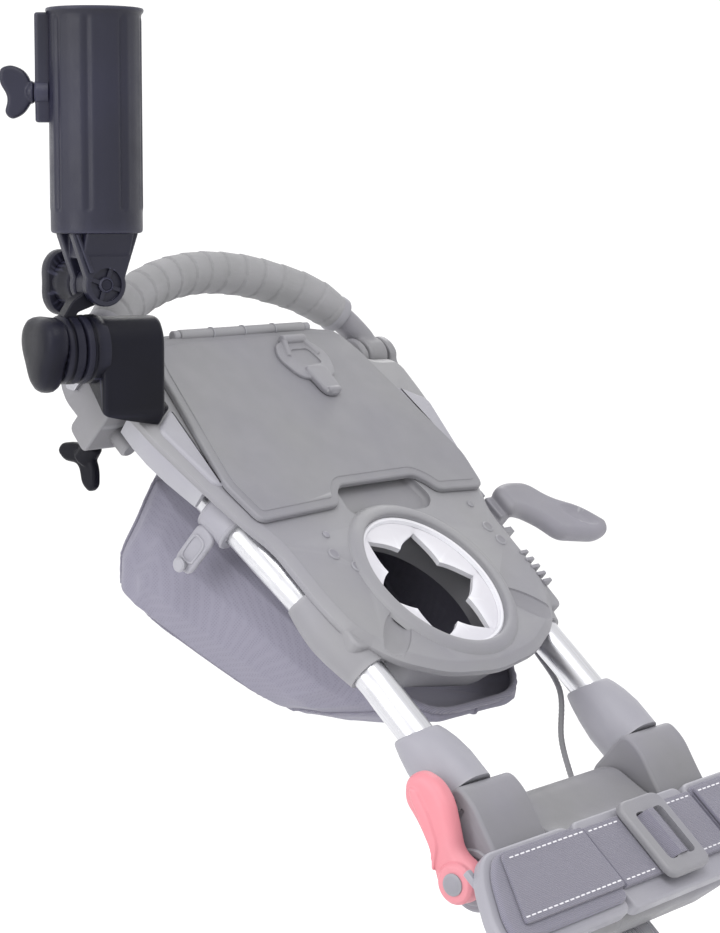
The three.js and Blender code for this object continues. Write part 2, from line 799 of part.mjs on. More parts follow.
const fork = join(
  forkArm,
  mirrored(forkArm),
  prismX(
    outline(
      [
        [mainEnd - 0.6, mainDrop - 24],
        [mainEnd - 12, mainDrop - 24],
        [mainEnd - 14, mainDrop + 24],
        [mainEnd - 0.6, mainDrop + 24],
      ],
      2,
      1,
    ),
    -44,
    44,
  ),
);
add("front_fork", tilted(fork), "shellDark");

// ---------- lower bag cradle ----------
const cradleTop = mainDrop + mainHalf;
const cradle = join(
  prismY(
    outline(
      [
        [cradleTop + gap, -24],
        [cradleTop + gap, 24],
        [cradleTop + 22, 62],
        [cradleTop + 62, 98],
        [cradleTop + 66, 92],
        [cradleTop + 31, 58],
        [cradleTop + 12, 18],
        [cradleTop + 12, -18],
        [cradleTop + 31, -58],
        [cradleTop + 66, -92],
        [cradleTop + 62, -98],
        [cradleTop + 22, -62],
      ],
      3,
      1,
    ),
    mainEnd + 14,
    mainEnd + 48,
  ),
  prismY(
    outline(
      [
        [cradleTop + gap, -30],
        [cradleTop + gap, 30],
        [cradleTop + 28, 56],
        [cradleTop + 60, 40],
        [cradleTop + 60, -40],
        [cradleTop + 28, -56],
      ],
      6,
      2,
    ),
    mainEnd + 8,
    mainEnd + 15,
  ),
);
add("lower_cradle", tilted(cradle), "shellDark");
const lowerStrap = prismY(
  outline(
    [
      [cradleTop + 13, -17],
      [cradleTop + 13, 17],
      [cradleTop + 32.4, 57],
      [cradleTop + 62, 86],
      [cradleTop + 64, 84],
      [cradleTop + 34.8, 54],
      [cradleTop + 15.2, 14],
      [cradleTop + 15.2, -14],
      [cradleTop + 34.8, -54],
      [cradleTop + 64, -84],
      [cradleTop + 62, -86],
      [cradleTop + 32.4, -57],
    ],
    0,
  ),
  mainEnd + 20,
  mainEnd + 43,
);
add("lower_strap", tilted(lowerStrap), "strap");

// ---------- rear brake on the right leg ----------
const legDir = legFoot.clone().sub(legTop).normalize();
const clampAt = legFoot.clone().addScaledVector(legDir, -184);
const brakeTurn = Math.atan2(rearAxleY - clampAt.y, clampAt.z - axleZ);
// Boxes round the wheel: across, along the tread, and out from the axle.
const radialBox = (x0, x1, t, r0, r1) =>
  box(x0, x1, -t, t, r0, r1).rotateX(brakeTurn).translate(0, rearAxleY, axleZ);
const brakeBlock = cut(
  join(
    rod(clampAt.clone().addScaledVector(legDir, -13), clampAt.clone().addScaledVector(legDir, 13), 18, 18, 14),
    radialBox(clampAt.x + 4, rearWheelX + 16, 12, 158, 178),
  ),
  rod(
    clampAt.clone().addScaledVector(legDir, -40),
    clampAt.clone().addScaledVector(legDir, 40),
    legRadius + gap,
    legRadius + gap,
    14,
  ),
  radialBox(rearWheelX - 10.4, rearWheelX + 10.4, 8.4, 140, 200),
);
add("brake_block", brakeBlock, "shellDark");
add("brake_pad", radialBox(rearWheelX - 10, rearWheelX + 10, 8, 150, 182), "coral");

// ---------- umbrella holder ----------
// Drawn with its swivel axis along X and its tilt axis along Y, then turned about the cup's own axis.
const ofHolder = (g) => upright(g.clone().translate(-holderX, -holderY, 0).rotateZ(holderTurn).translate(holderX, holderY, 0));
const cupDir = THREE.MathUtils.degToRad(151.3);
const outward = v3(Math.cos(cupDir), Math.sin(cupDir), 0);
const cupWall = turned(
  [
    [0, cupBottom],
    [cupRadius, cupBottom],
    [cupRadius, cupTop - 4],
    [cupRadius + 1.6, cupTop],
    [cupBore, cupTop],
    [cupBore, cupBottom + 16],
    [0, cupBottom + 16],
  ],
  32,
).translate(holderX, holderY, 0);
const screwZ = 294;
const rib = box(cupBore + 1, cupRadius + 8, -6, 6, cupTop - 66, cupTop - 1)
  .rotateZ(cupDir)
  .translate(holderX, holderY, 0);
const clevisOut = 13;
const clevisIn = 6;
const skirt = (y0, y1) =>
  prismY(
    outline(
      [
        [tiltZ + 9, holderX - 11],
        [cupBottom + 1, holderX - 22],
        [cupBottom + 1, holderX + 22],
        [tiltZ + 9, holderX + 11],
      ],
      0,
    ),
    holderY + y0,
    holderY + y1,
  );
const clevisArms = [
  [-clevisOut, -clevisIn],
  [clevisIn, clevisOut],
].flatMap(([y0, y1]) => [
  rod(v3(holderX, holderY + y0, tiltZ), v3(holderX, holderY + y1, tiltZ), 12.8, 12.8, 20),
  skirt(y0, y1),
]);
const clevisCrown = prismX(
  outline(
    [
      [holderY - clevisOut, tiltZ + 15],
      [holderY - 21, cupBottom + 1],
      [holderY + 21, cupBottom + 1],
      [holderY + clevisOut, tiltZ + 15],
    ],
    0,
  ),
  holderX - 16,
  holderX + 16,
);
const tiltHole = rod(v3(holderX, 80, tiltZ), v3(holderX, 180, tiltZ), 3.4, 3.4, 12);
const cup = cut(
  join(cupWall, rib, ...clevisArms, clevisCrown),
  tiltHole,
  rod(
    v3(holderX, holderY, screwZ).addScaledVector(outward, 15),
    v3(holderX, holderY, screwZ).addScaledVector(outward, 50),
    3.4,
    3.4,
    12,
  ),
  new THREE.CylinderGeometry(cupBore, cupBore, 200, 32)
    .rotateX(Math.PI / 2)
    .translate(holderX, holderY, cupBottom + 116),
  box(holderX - 14, holderX + 14, holderY - clevisIn, holderY + clevisIn, tiltZ - 20, tiltZ + 14.4),
);
add("umbrella_cup", ofHolder(cup), "black");

const gripScrew = join(
  rod(v3(cupBore - 4.6, 0, screwZ), v3(cupRadius + 13, 0, screwZ), 3, 3, 12),
  rod(v3(cupRadius + 8.4, 0, screwZ), v3(cupRadius + 12, 0, screwZ), 6.5, 5.5, 14),
  prismY(
    outline(
      [
        [screwZ - 7, cupRadius + 10],
        [screwZ - 13, cupRadius + 17],
        [screwZ - 15, cupRadius + 23],
        [screwZ - 4, cupRadius + 22],
        [screwZ + 8, cupRadius + 29],
        [screwZ + 15, cupRadius + 26],
        [screwZ + 14, cupRadius + 16],
        [screwZ + 7, cupRadius + 10],
      ],
      4,
      2,
    ),
    -4,
    4,
    1,
  ),
)
  .rotateZ(cupDir)
  .translate(holderX, holderY, 0);
add("umbrella_grip_screw", ofHolder(gripScrew), "black");

// Distances along the swivel axis from the cup's axis: knob, turning head, fixed collar, block.
const knobFace = holderX - 41.6;
const headX0 = holderX - 26.9;
const headX1 = holderX - 15.5;
const collarX0 = holderX - 15;
const blockX0 = holderX - 4;
const blockX1 = holderX + 36;
const neck = prismY(
  outline(
    [
      [swivelZ, headX0],
      [swivelZ, headX1],
      [swivelZ + 21.8, headX1],
      [tiltZ - 12.5, holderX - 5],
      [tiltZ - 8, holderX + 8],
      [tiltZ, holderX],
      [tiltZ - 4, holderX - 10],
      [tiltZ - 9, holderX - 18],
      [swivelZ + 16, headX0],
    ],
    0,
  ),
  holderY - clevisIn + 0.4,
  holderY + clevisIn - 0.4,
);
const headDisc = plate(lobes(20, 19.6, 20.5, 0, 40), headX0, headX1).applyMatrix4(
  new THREE.Matrix4().makeBasis(v3(0, 1, 0), v3(0, 0, 1), v3(1, 0, 0)).setPosition(0, holderY, swivelZ),
);
const knuckle = rod(
  v3(holderX, holderY - clevisIn + 0.4, tiltZ),
  v3(holderX, holderY + clevisIn - 0.4, tiltZ),
  11.8,
  11.8,
  20,
);
const head = cut(
  join(headDisc, neck, knuckle),
  tiltHole,
  rodX(headX0 - 5, holderX, holderY, swivelZ, 3.8, 12),
);
add("swivel_head", ofHolder(head), "black");

const tiltKnob = join(
  rod(v3(holderX, holderY - clevisOut, tiltZ), v3(holderX, holderY + clevisOut + 2, tiltZ), 3, 3, 12),
  rod(v3(holderX, holderY + clevisOut + 0.4, tiltZ), v3(holderX, holderY + 35, tiltZ), 13, 14.5, 18),
  prismY(lobes(3, 16, 20.5, 0, 24), holderY + 34.5, holderY + 50, 2).translate(holderX, 0, tiltZ),
);
add("tilt_knob", ofHolder(tiltKnob), "black");

const swivelKnob = join(
  rodX(headX0 - 2, blockX0 + 8, holderY, swivelZ, 3.4, 12),
  prismX(lobes(3, 19.5, 25, Math.PI / 6, 24), knobFace, headX0 - 0.4, 3).translate(0, holderY, swivelZ),
);
add("swivel_knob", ofHolder(swivelKnob), "black");

// Mount block: its foot sits on the console's corner, its collar faces the swivel head.
const mountSide = outline(
  [
    [holderY - 17, 85],
    [holderY + 17, 100],
    [holderY + 17.5, 156],
    [holderY + 10, 163],
    [holderY - 10, 163],
    [holderY - 17.5, 156],
  ],
  4,
  2,
);
const mountBody = join(
  prismX(mountSide, blockX0, blockX1),
  rodX(collarX0, blockX0 + 1, holderY, swivelZ, 20.3, 30),
);
const mountFoot = tilted(plate(outline([[boltX - 4, 151], [boltX - 4, 188], [boltX + 16, 184], [boltX + 16, 151]], 3, 1), 0.4, 8));
const console0 = tilted(box(-400, 0, 0, 400, -200, 0.4));
const swivelHole = ofHolder(rodX(collarX0 - 5, blockX0 + 9, holderY, swivelZ, 3.8, 12));
const mountBolt = (r, n0, n1) => {
  const a = tiltedPoint(boltX, boltY, n0);
  const b = tiltedPoint(boltX, boltY, n1);
  return rod(a, b, r, r, 12);
};
add(
  "umbrella_mount",
  cut(join(ofHolder(mountBody), mountFoot), console0, swivelHole, mountBolt(3.8, -5, 15)),
  "black",
);
const bolt = join(
  mountBolt(3.4, -46, 14.4),
  mountBolt(7, -50, -42.5),
  tilted(
    prismX(
      outline(
        [
          [boltY - 17, -64],
          [boltY - 6, -67],
          [boltY, -58],
          [boltY + 6, -67],
          [boltY + 17, -64],
          [boltY + 15, -55],
          [boltY + 5, -48],
          [boltY - 5, -48],
          [boltY - 15, -55],
        ],
        3,
        2,
      ),
      boltX - 4,
      boltX + 4,
      1,
    ),
  ),
);
add("mount_wing_bolt", bolt, "black");

// ---------- origin: middle of the footprint, on the floor ----------
const bounds = new THREE.Box3().setFromObject(root);
const midY = (bounds.min.y + bounds.max.y) / 2;
root.children.forEach((m) => m.geometry.translate(0, -midY, -bounds.min.z));

export default root;
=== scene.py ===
import math

import bmesh
import bpy
from mathutils import Matrix, Vector, noise


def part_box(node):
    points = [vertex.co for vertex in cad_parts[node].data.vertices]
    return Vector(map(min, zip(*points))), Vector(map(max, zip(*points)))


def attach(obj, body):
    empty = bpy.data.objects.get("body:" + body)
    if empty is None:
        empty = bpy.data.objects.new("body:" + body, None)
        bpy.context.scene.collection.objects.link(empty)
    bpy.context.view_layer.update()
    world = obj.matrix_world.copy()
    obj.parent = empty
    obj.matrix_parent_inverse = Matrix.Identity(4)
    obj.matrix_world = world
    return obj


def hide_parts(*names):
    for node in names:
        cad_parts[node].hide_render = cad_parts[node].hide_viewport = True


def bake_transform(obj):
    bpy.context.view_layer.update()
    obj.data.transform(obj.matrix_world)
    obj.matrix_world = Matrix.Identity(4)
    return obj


# Looks of the folding golf push cart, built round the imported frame.
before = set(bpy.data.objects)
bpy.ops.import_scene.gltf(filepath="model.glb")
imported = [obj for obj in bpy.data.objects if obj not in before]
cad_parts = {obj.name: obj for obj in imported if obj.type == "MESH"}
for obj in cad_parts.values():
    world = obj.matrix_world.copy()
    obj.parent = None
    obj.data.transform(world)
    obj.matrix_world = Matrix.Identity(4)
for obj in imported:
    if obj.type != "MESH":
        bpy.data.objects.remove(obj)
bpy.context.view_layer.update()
MM = 0.001

# ---------- frames: all shapes below are drawn in millimetres ----------
# Every shape is (vertices, faces) until new_object places it in the frame.
SLOPE = math.radians(42)
COS, SIN = math.cos(SLOPE), math.sin(SLOPE)
insert_low, insert_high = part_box("star_insert")
RING = (insert_low + insert_high) / 2 + Vector((0, -SIN, COS)) * 5 * MM
SCALE = Matrix.Scale(MM, 4)
# Ring-centred axes along the floor, and the upper frame's (across, along, square to the console).
FLAT = Matrix.Translation(RING) @ SCALE
TILT = Matrix.Translation(RING) @ Matrix.Rotation(SLOPE, 4, "X") @ SCALE
HOLDER_X, HOLDER_Y = -158, 130
HOLDER = (
    FLAT
    @ Matrix.Translation((HOLDER_X, HOLDER_Y, 0))
    @ Matrix.Rotation(math.radians(-21.3), 4, "Z")
)


# ---------- camera, light and floor ----------
def make_camera():
    data = bpy.data.cameras.new("camera")
    data.lens = 97.44
    data.sensor_width = 36
    data.clip_start, data.clip_end = 0.05, 50
    cam = bpy.data.objects.new("camera", data)
    bpy.context.scene.collection.objects.link(cam)
    forward = Vector((0.7759, 0.6211, -0.1108))
    right = Vector((0.6250, -0.7807, 0.0)).normalized()
    up = right.cross(forward).normalized()
    turn = Matrix((right, up, -forward.normalized())).transposed().to_4x4()
    cam.matrix_world = Matrix.Translation(RING + Vector((-1.2259, -0.9231, 0.2402))) @ turn
    bpy.context.scene.camera = cam


def area_light(name, at, aim, size, power, color=(1, 1, 1)):
    data = bpy.data.lights.new(name, "AREA")
    data.shape = "RECTANGLE"
    data.size, data.size_y = size
    data.energy = power
    data.color = color
    light = bpy.data.objects.new(name, data)
    bpy.context.scene.collection.objects.link(light)
    light.location = at
    light.rotation_euler = (Vector(aim) - Vector(at)).to_track_quat("-Z", "Y").to_euler()


def make_stage():
    world = bpy.data.worlds.new("studio")
    world.use_nodes = True
    world.node_tree.nodes["Background"].inputs["Color"].default_value = (1, 1, 1, 1)
    world.node_tree.nodes["Background"].inputs["Strength"].default_value = 1.12
    scene = bpy.context.scene
    scene.world = world
    scene.view_settings.view_transform = "Standard"
    bpy.ops.mesh.primitive_plane_add(size=14, location=(0, 0, -0.0005))
    floor = bpy.context.object
    floor.name = "floor"
    paint = bpy.data.materials.new("floor")
    paint.use_nodes = True
    shader = paint.node_tree.nodes["Principled BSDF"]
    shader.inputs["Base Color"].default_value = (0.985, 0.985, 0.985, 1)
    shader.inputs["Roughness"].default_value = 0.9
    floor.data.materials.append(paint)
    area_light("key", (-1.2, -1.0, 3.2), (0, 0.25, 0.9), (1.4, 1.4), 34)
    area_light("side", (-2.2, 0.9, 1.6), (-0.1, 0.35, 0.95), (0.35, 1.8), 22)
    area_light("rim", (1.9, 1.5, 2.2), (0, 0.3, 0.9), (0.8, 0.8), 12)


make_camera()
make_stage()


# ---------- materials ----------
class Paint:
    """A principled material put together from a few procedural layers."""

    def __init__(self, name, color, rough, metal=0.0, turn=SLOPE, **sockets):
        self.mat = bpy.data.materials.new(name)
        self.mat.use_nodes = True
        self.tree = self.mat.node_tree
        self.shader = self.tree.nodes["Principled BSDF"]
        self.color = self.shader.inputs["Base Color"]
        self.rough = self.shader.inputs["Roughness"]
        self.color.default_value = (*color, 1)
        self.rough.default_value = rough
        self.shader.inputs["Metallic"].default_value = metal
        for key, value in sockets.items():
            self.shader.inputs[key.replace("_", " ")].default_value = value
        self.base = color
        self.normal = None
        coords = self.tree.nodes.new("ShaderNodeTexCoord")
        self.map = self.tree.nodes.new("ShaderNodeMapping")
        self.map.vector_type = "TEXTURE"
        self.map.inputs["Location"].default_value = RING
        self.map.inputs["Rotation"].default_value = (turn, 0, 0)
        self.tree.links.new(coords.outputs["Object"], self.map.inputs["Vector"])

    def node(self, kind, **values):
        made = self.tree.nodes.new(kind)
        for key, value in values.items():
            if key in made.inputs:
                made.inputs[key].default_value = value
            else:
                setattr(made, key, value)
        return made

    def link(self, a, b):
        self.tree.links.new(a, b)

    def stretched(self, scale):
        grid = self.node("ShaderNodeMapping")
        grid.inputs["Scale"].default_value = scale
        self.link(self.map.outputs["Vector"], grid.inputs["Vector"])
        return grid.outputs["Vector"]

    def noise(self, scale, detail=3.0, stretch=(1, 1, 1)):
        tex = self.node("ShaderNodeTexNoise", Scale=scale, Detail=detail)
        self.link(self.stretched(stretch), tex.inputs["Vector"])
        return tex.outputs["Fac"]

    def spread(self, value, low, high):
        out = self.node("ShaderNodeMapRange")
        out.inputs["From Min"].default_value = 0.3
        out.inputs["From Max"].default_value = 0.7
        out.inputs["To Min"].default_value = low
        out.inputs["To Max"].default_value = high
        self.link(value, out.inputs["Value"])
        return out.outputs["Result"]

    def tint(self, value, other, low=0.35, high=0.65):
        """Mixes the base colour with another one by a texture."""
        ramp = self.node("ShaderNodeValToRGB")
        first, last = ramp.color_ramp.elements
        first.position, last.position = low, high
        first.color, last.color = (*self.base, 1), (*other, 1)
        self.link(value, ramp.inputs["Fac"])
        self.link(ramp.outputs["Color"], self.color)
        return self

    def gloss(self, value, low, high):
        self.link(self.spread(value, low, high), self.rough)
        return self

    def bump(self, height, distance, strength=1.0):
        b = self.node("ShaderNodeBump", Strength=strength)
        b.inputs["Distance"].default_value = distance
        self.link(height, b.inputs["Height"])
        if self.normal is not None:
            self.link(self.normal, b.inputs["Normal"])
        self.normal = b.outputs["Normal"]
        self.link(self.normal, self.shader.inputs["Normal"])
        return self

    def edge_highlight(self, other, low=0.52, high=0.62):
        """Painted highlight: the colour turns paler along edges and corners, from the mesh's own pointiness.
        """
        geo = self.node("ShaderNodeNewGeometry")
        ramp = self.node("ShaderNodeMapRange")
        ramp.inputs["From Min"].default_value = low
        ramp.inputs["From Max"].default_value = high
        self.link(geo.outputs["Pointiness"], ramp.inputs["Value"])
        mix = self.node("ShaderNodeMix", data_type="RGBA")
        self.link(ramp.outputs["Result"], mix.inputs["Factor"])
        mix.inputs["B"].default_value = (*other, 1)
        source = self.color.links[0].from_socket if self.color.links else None
        if source:
            self.link(source, mix.inputs["A"])
        else:
            mix.inputs["A"].default_value = (*self.base, 1)
        self.link(mix.outputs["Result"], self.color)
        return self


def plastic(name, color, rough, other, edge, grain=2600, **more):
    p = Paint(name, color, rough, **more)
    p.tint(p.noise(9, 4), other)
    # The edge colour is a painted highlight along edges and corners.
    p.edge_highlight(edge)
    p.gloss(p.noise(60, 4), rough - 0.07, rough + 0.08)
    p.bump(p.noise(grain, 2), 0.00012)
    return p.mat


def metal(name, color, rough, stretch, turn=SLOPE):
    p = Paint(name, color, rough, metal=1.0, turn=turn)
    lines = p.noise(900, 2, stretch)
    p.tint(lines, tuple(c * 0.88 for c in color))
    p.gloss(lines, rough - 0.08, rough + 0.12)
    p.bump(lines, 0.00004)
    return p.mat


def webbing(name, color, other):
    p = Paint(name, color, 0.85, Sheen_Weight=0.25, Sheen_Roughness=0.5)
    rows = p.node("ShaderNodeTexWave", wave_type="BANDS", bands_direction="X", Scale=560.0, Distortion=0.6)
    cols = p.node("ShaderNodeTexWave", wave_type="BANDS", bands_direction="Y", Scale=330.0, Distortion=0.6)
    for tex in (rows, cols):
        tex.inputs["Detail"].default_value = 1.0
        p.link(p.map.outputs["Vector"], tex.inputs["Vector"])
    both = p.node("ShaderNodeMath", operation="MULTIPLY")
    p.link(rows.outputs["Fac"], both.inputs[0])
    p.link(cols.outputs["Fac"], both.inputs[1])
    p.tint(both.outputs["Value"], other, 0.0, 0.9)
    p.bump(both.outputs["Value"], 0.0004)
    p.bump(p.noise(40, 4), 0.0006, 0.5)
    return p.mat


def netting(name, color, other):
    p = Paint(name, color, 0.9, Sheen_Weight=0.15, Sheen_Roughness=0.6)
    cells = p.node("ShaderNodeTexVoronoi", feature="DISTANCE_TO_EDGE", Scale=620.0, Randomness=0.25)
    p.link(p.map.outputs["Vector"], cells.inputs["Vector"])
    p.tint(cells.outputs["Distance"], other, 0.1, 0.35)
    ridge = p.spread(cells.outputs["Distance"], 1.0, 0.0)
    p.bump(ridge, 0.00018)
    p.bump(p.noise(26, 5), 0.0025, 0.6)
    return p.mat


# The last colour given to each plastic is its painted edge highlight, paler along edges and corners.
MATS = {
    "shell": plastic("shell_plastic", (0.222, 0.220, 0.230), 0.5, (0.211, 0.207, 0.233),
    (0.296, 0.296, 0.310)),
    "lid": plastic("lid_plastic", (0.199, 0.198, 0.207), 0.55, (0.189, 0.186, 0.209), (0.274, 0.274, 0.287)),
    "dark": plastic("dark_plastic", (0.196, 0.194, 0.204), 0.52, (0.211, 0.204, 0.241),
    (0.281, 0.281, 0.304)),
    "alu": metal("brushed_tube", (0.63, 0.63, 0.66), 0.3, (1, 0.02, 1)),
    "alu_level": metal("brushed_leg", (0.60, 0.60, 0.63), 0.32, (0.2, 0.2, 0.2), turn=0.0),
    "steel": metal("zinc_steel", (0.45, 0.45, 0.48), 0.36, (1, 1, 1)),
    "facet": plastic("pale_plastic", (0.280, 0.275, 0.309), 0.45, (0.260, 0.255, 0.293),
    (0.339, 0.339, 0.365)),
    "coral": plastic("coral_plastic", (0.60, 0.190, 0.225), 0.42, (0.56, 0.215, 0.250), (0.72, 0.36, 0.39),
    3200),
    "black": plastic(
        "black_plastic", (0.010, 0.010, 0.020), 0.36, (0.014, 0.014, 0.030), (0.050, 0.050, 0.085), 3600,
        Specular_IOR_Level=0.32
    ),
    "jet": plastic(
        "jet_plastic", (0.003, 0.003, 0.006), 0.34, (0.005, 0.005, 0.012), (0.030, 0.030, 0.050), 3600,
        Specular_IOR_Level=0.16),
    "insert": plastic("insert_rubber", (0.594, 0.585, 0.621), 0.7, (0.540, 0.531, 0.576),
    (0.720, 0.720, 0.756), 1800),
    "strap": webbing("webbing", (0.170, 0.162, 0.214), (0.254, 0.246, 0.297)),
    "padding": webbing("pad_fabric", (0.186, 0.178, 0.234), (0.238, 0.230, 0.281)),
    "net": netting("net_fabric", (0.201, 0.194, 0.246), (0.168, 0.161, 0.210)),
    "tyre": plastic("tyre_rubber", (0.132, 0.132, 0.139), 0.8, (0.163, 0.161, 0.172), (0.211, 0.211, 0.220),
    1400),
    "thread": plastic("stitching", (0.72, 0.71, 0.75), 0.8, (0.62, 0.61, 0.66), (0.80, 0.80, 0.82), 5000),
}


def foam_material():
    p = Paint("foam_rubber", (0.245, 0.245, 0.252), 0.82)
    p.tint(p.noise(30, 4), (0.275, 0.272, 0.285))
    p.bump(p.noise(1500, 4), 0.0004)
    return p.mat


MATS["foam"] = foam_material()


# ---------- mesh building ----------
def new_object(name, verts, faces, mat, place=TILT):
    mesh = bpy.data.meshes.new(name)
    mesh.from_pydata([place @ Vector(v) for v in verts], [], faces)
    obj = bpy.data.objects.new(name, mesh)
    bpy.context.scene.collection.objects.link(obj)
    b = bmesh.new()
    b.from_mesh(mesh)
    bmesh.ops.remove_doubles(b, verts=b.verts, dist=1e-7)
    bmesh.ops.recalc_face_normals(b, faces=b.faces)
    b.to_mesh(mesh)
    b.free()
    if mat:
        mesh.materials.append(MATS[mat])
    return obj


def modify(obj, kind, **values):
    """Adds a modifier and applies it."""
    m = obj.modifiers.new(kind, kind)
    for key, value in values.items():
        setattr(m, key, value)
    dg = bpy.context.evaluated_depsgraph_get()
    mesh = bpy.data.meshes.new_from_object(obj.evaluated_get(dg), depsgraph=dg)
    old = obj.data
    obj.modifiers.clear()
    obj.data = mesh
    mesh.name = obj.name
    bpy.data.meshes.remove(old)
    return obj


def smooth(obj, angle=35):
    """Smooth shading that keeps edges sharper than the angle, weighted by face area."""
    b = bmesh.new()
    b.from_mesh(obj.data)
    for f in b.faces:
        f.smooth = True
    limit = math.radians(angle)
    for e in b.edges:
        e.smooth = len(e.link_faces) == 2 and e.calc_face_angle(0) < limit
    b.to_mesh(obj.data)
    b.free()
    weighted = obj.modifiers.new("weighted", "WEIGHTED_NORMAL")
    weighted.keep_sharp = True
    return obj


def soften(obj):
    obj.data.polygons.foreach_set("use_smooth", [True] * len(obj.data.polygons))
    obj.data.update()
    return obj


def loft(rings, caps=True, closed=False):
    n = len(rings[0])
    verts = [p for ring in rings for p in ring]
    faces = []
    last = len(rings) if closed else len(rings) - 1
    for k in range(last):
        a0, b0 = k * n, ((k + 1) % len(rings)) * n
        for i in range(n):
            j = (i + 1) % n
            faces.append((a0 + i, a0 + j, b0 + j, b0 + i))
    if caps and not closed:
        faces.append(tuple(range(n))[::-1])
        faces.append(tuple((len(rings) - 1) * n + i for i in range(n)))
    return verts, faces


def rounded(points, r, steps=7):
    """A closed 2-D outline with its corners rounded."""
    out = []
    n = len(points)
    for i, p in enumerate(points):
        p = Vector(p)
        a, b = Vector(points[i - 1]) - p, Vector(points[(i + 1) % n]) - p
        k = min(r, a.length * 0.45, b.length * 0.45)
        s, e = p + a.normalized() * k, p + b.normalized() * k
        for j in range(steps + 1):
            t = j / steps
            out.append(s * (1 - t) ** 2 + p * 2 * t * (1 - t) + e * t * t)
    return even(out)


def even(points, step=2.5):
    """Splits long edges of a closed outline, so that its insets stay smooth."""
    out = []
    for i, p in enumerate(points):
        q = points[(i + 1) % len(points)]
        n = max(1, round((q - p).length / step))
        out += [p.lerp(q, k / n) for k in range(n)]
    return out


def mirror_half(half):
    return list(half) + [(-x, y) for x, y in reversed(half) if x > 0.01]


def inset(points, d):
    """Moves a closed anticlockwise outline inwards."""
    if abs(d) < 1e-9:
        return [Vector(p) for p in points]
    n = len(points)
    out = []
    for i in range(n):
        t = (points[(i + 1) % n] - points[i - 1]).normalized()
        out.append(points[i] + Vector((-t.y, t.x)) * d)
    return out


def area2(points):
    return sum(points[i - 1].x * points[i].y - points[i].x * points[i - 1].y for i in range(len(points)))


def slab(points, z0, z1, top=1.0, bottom=1.0, steps=5, chamfer=None):
    """An outline raised into a plate with rounded rims, or with a broad chamfer (width, depth) on top."""
    pts = [Vector(p) for p in points]
    if area2(pts) < 0:
        pts.reverse()
    levels = []
    for k in range(steps + 1):
        a = math.pi / 2 * k / steps
        levels.append((bottom * (1 - math.sin(a)), z0 + bottom * (1 - math.cos(a))))
    if chamfer:
        width, depth = chamfer
        levels += [(0, z1 - depth - 1), (0.4, z1 - depth), (width - 0.8, z1 - 0.5), (width + 0.6, z1)]
    else:
        for k in range(steps + 1):
            a = math.pi / 2 * k / steps
            levels.append((top * (1 - math.cos(a)), z1 - top * (1 - math.sin(a))))
    rings = [[(p.x, p.y, z) for p in inset(pts, d)] for d, z in levels]
    return loft(rings)


AXES = {
    "xy": Matrix.Identity(4),
    "yz": Matrix(((0, 0, 1, 0), (1, 0, 0, 0), (0, 1, 0, 0), (0, 0, 0, 1))),
    "zx": Matrix(((0, 1, 0, 0), (0, 0, 1, 0), (1, 0, 0, 0), (0, 0, 0, 1))),
}


def moved(made, matrix):
    verts, faces = made
    return [tuple(matrix @ Vector(v)) for v in verts], faces


def prism(points, lo, hi, axes="yz", r=1.0, corner=0.0, **more):
    """A plate standing square to X ("yz" outlines) or to Y ("zx" outlines)."""
    pts = rounded(points, corner) if corner else even([Vector(p) for p in points])
    return moved(slab(pts, lo, hi, r, r, **more), AXES[axes])


def turned(profile, sides=64, lobes=0, depth=0.0, phase=0.0):
    """A lathe about Z from (radius, z) pairs; lobes make its outline wavy in proportion to the radius."""
    rings = []
    for r, z in profile:
        ring = []
        for i in range(sides):
            a = math.tau * i / sides
            rr = r * (1 + depth * math.cos(lobes * (a - phase)))
            ring.append((rr * math.cos(a), rr * math.sin(a), z))
        rings.append(ring)
    return loft(rings)


def aim(at, direction):
    """Takes +Z to a direction at a point."""
    return Matrix.Translation(Vector(at)) @ Vector(direction).to_track_quat("Z", "Y").to_matrix().to_4x4()


def rod(a, b, r, sides=32, f=0.4, r1=None):
    a, b = Vector(a), Vector(b)
    length = (b - a).length
    r1 = r if r1 is None else r1
    profile = [(r - f, 0), (r, f), (r1, length - f), (r1 - f, length)]
    return moved(turned(profile, sides), aim(a, b - a))


def catmull(points, steps):
    pts = [Vector(p) for p in points]
    pts = [pts[0] * 2 - pts[1]] + pts + [pts[-1] * 2 - pts[-2]]
    out = []
    for i in range(1, len(pts) - 2):
        p0, p1, p2, p3 = pts[i - 1 : i + 3]
        for k in range(steps):
            t = k / steps
            out.append(
                0.5 * (2 * p1 + (p2 - p0) * t + (2 * p0 - 5 * p1 + 4 * p2 - p3) * t * t
                       + (3 * p1 - p0 - 3 * p2 + p3) * t ** 3)
            )
    return out + [pts[-2]]


def sweep(path, radius, sides=32):
    """A round bar along a path; radius is a number or a function of (share of the way, angle, mm along)."""
    pts = [Vector(p) for p in path]
    up = Vector((0, 0, 1))
    rings = []
    run = 0.0
    side = None
    for i, p in enumerate(pts):
        t = (pts[min(i + 1, len(pts) - 1)] - pts[max(i - 1, 0)]).normalized()
        if side is None:
            side = t.cross(up).normalized()
        side = (side - t * side.dot(t)).normalized()
        other = t.cross(side)
        if i:
            run += (p - pts[i - 1]).length
        ring = []
        for k in range(sides):
            a = math.tau * k / sides
            r = radius(i / (len(pts) - 1), a, run) if callable(radius) else radius
            ring.append(tuple(p + (side * math.cos(a) + other * math.sin(a)) * r))
        rings.append(ring)
    return loft(rings)


def cuboid(x0, x1, y0, y1, z0, z1, r=0.8):
    return slab([Vector(p) for p in ((x0, y0), (x1, y0), (x1, y1), (x0, y1))], z0, z1, r, r, 3) if r else (
        [(x, y, z) for z in (z0, z1) for x, y in ((x0, y0), (x1, y0), (x1, y1), (x0, y1))],
        [(0, 3, 2, 1), (4, 5, 6, 7), (0, 1, 5, 4), (1, 2, 6, 5), (2, 3, 7, 6), (3, 0, 4, 7)],
    )


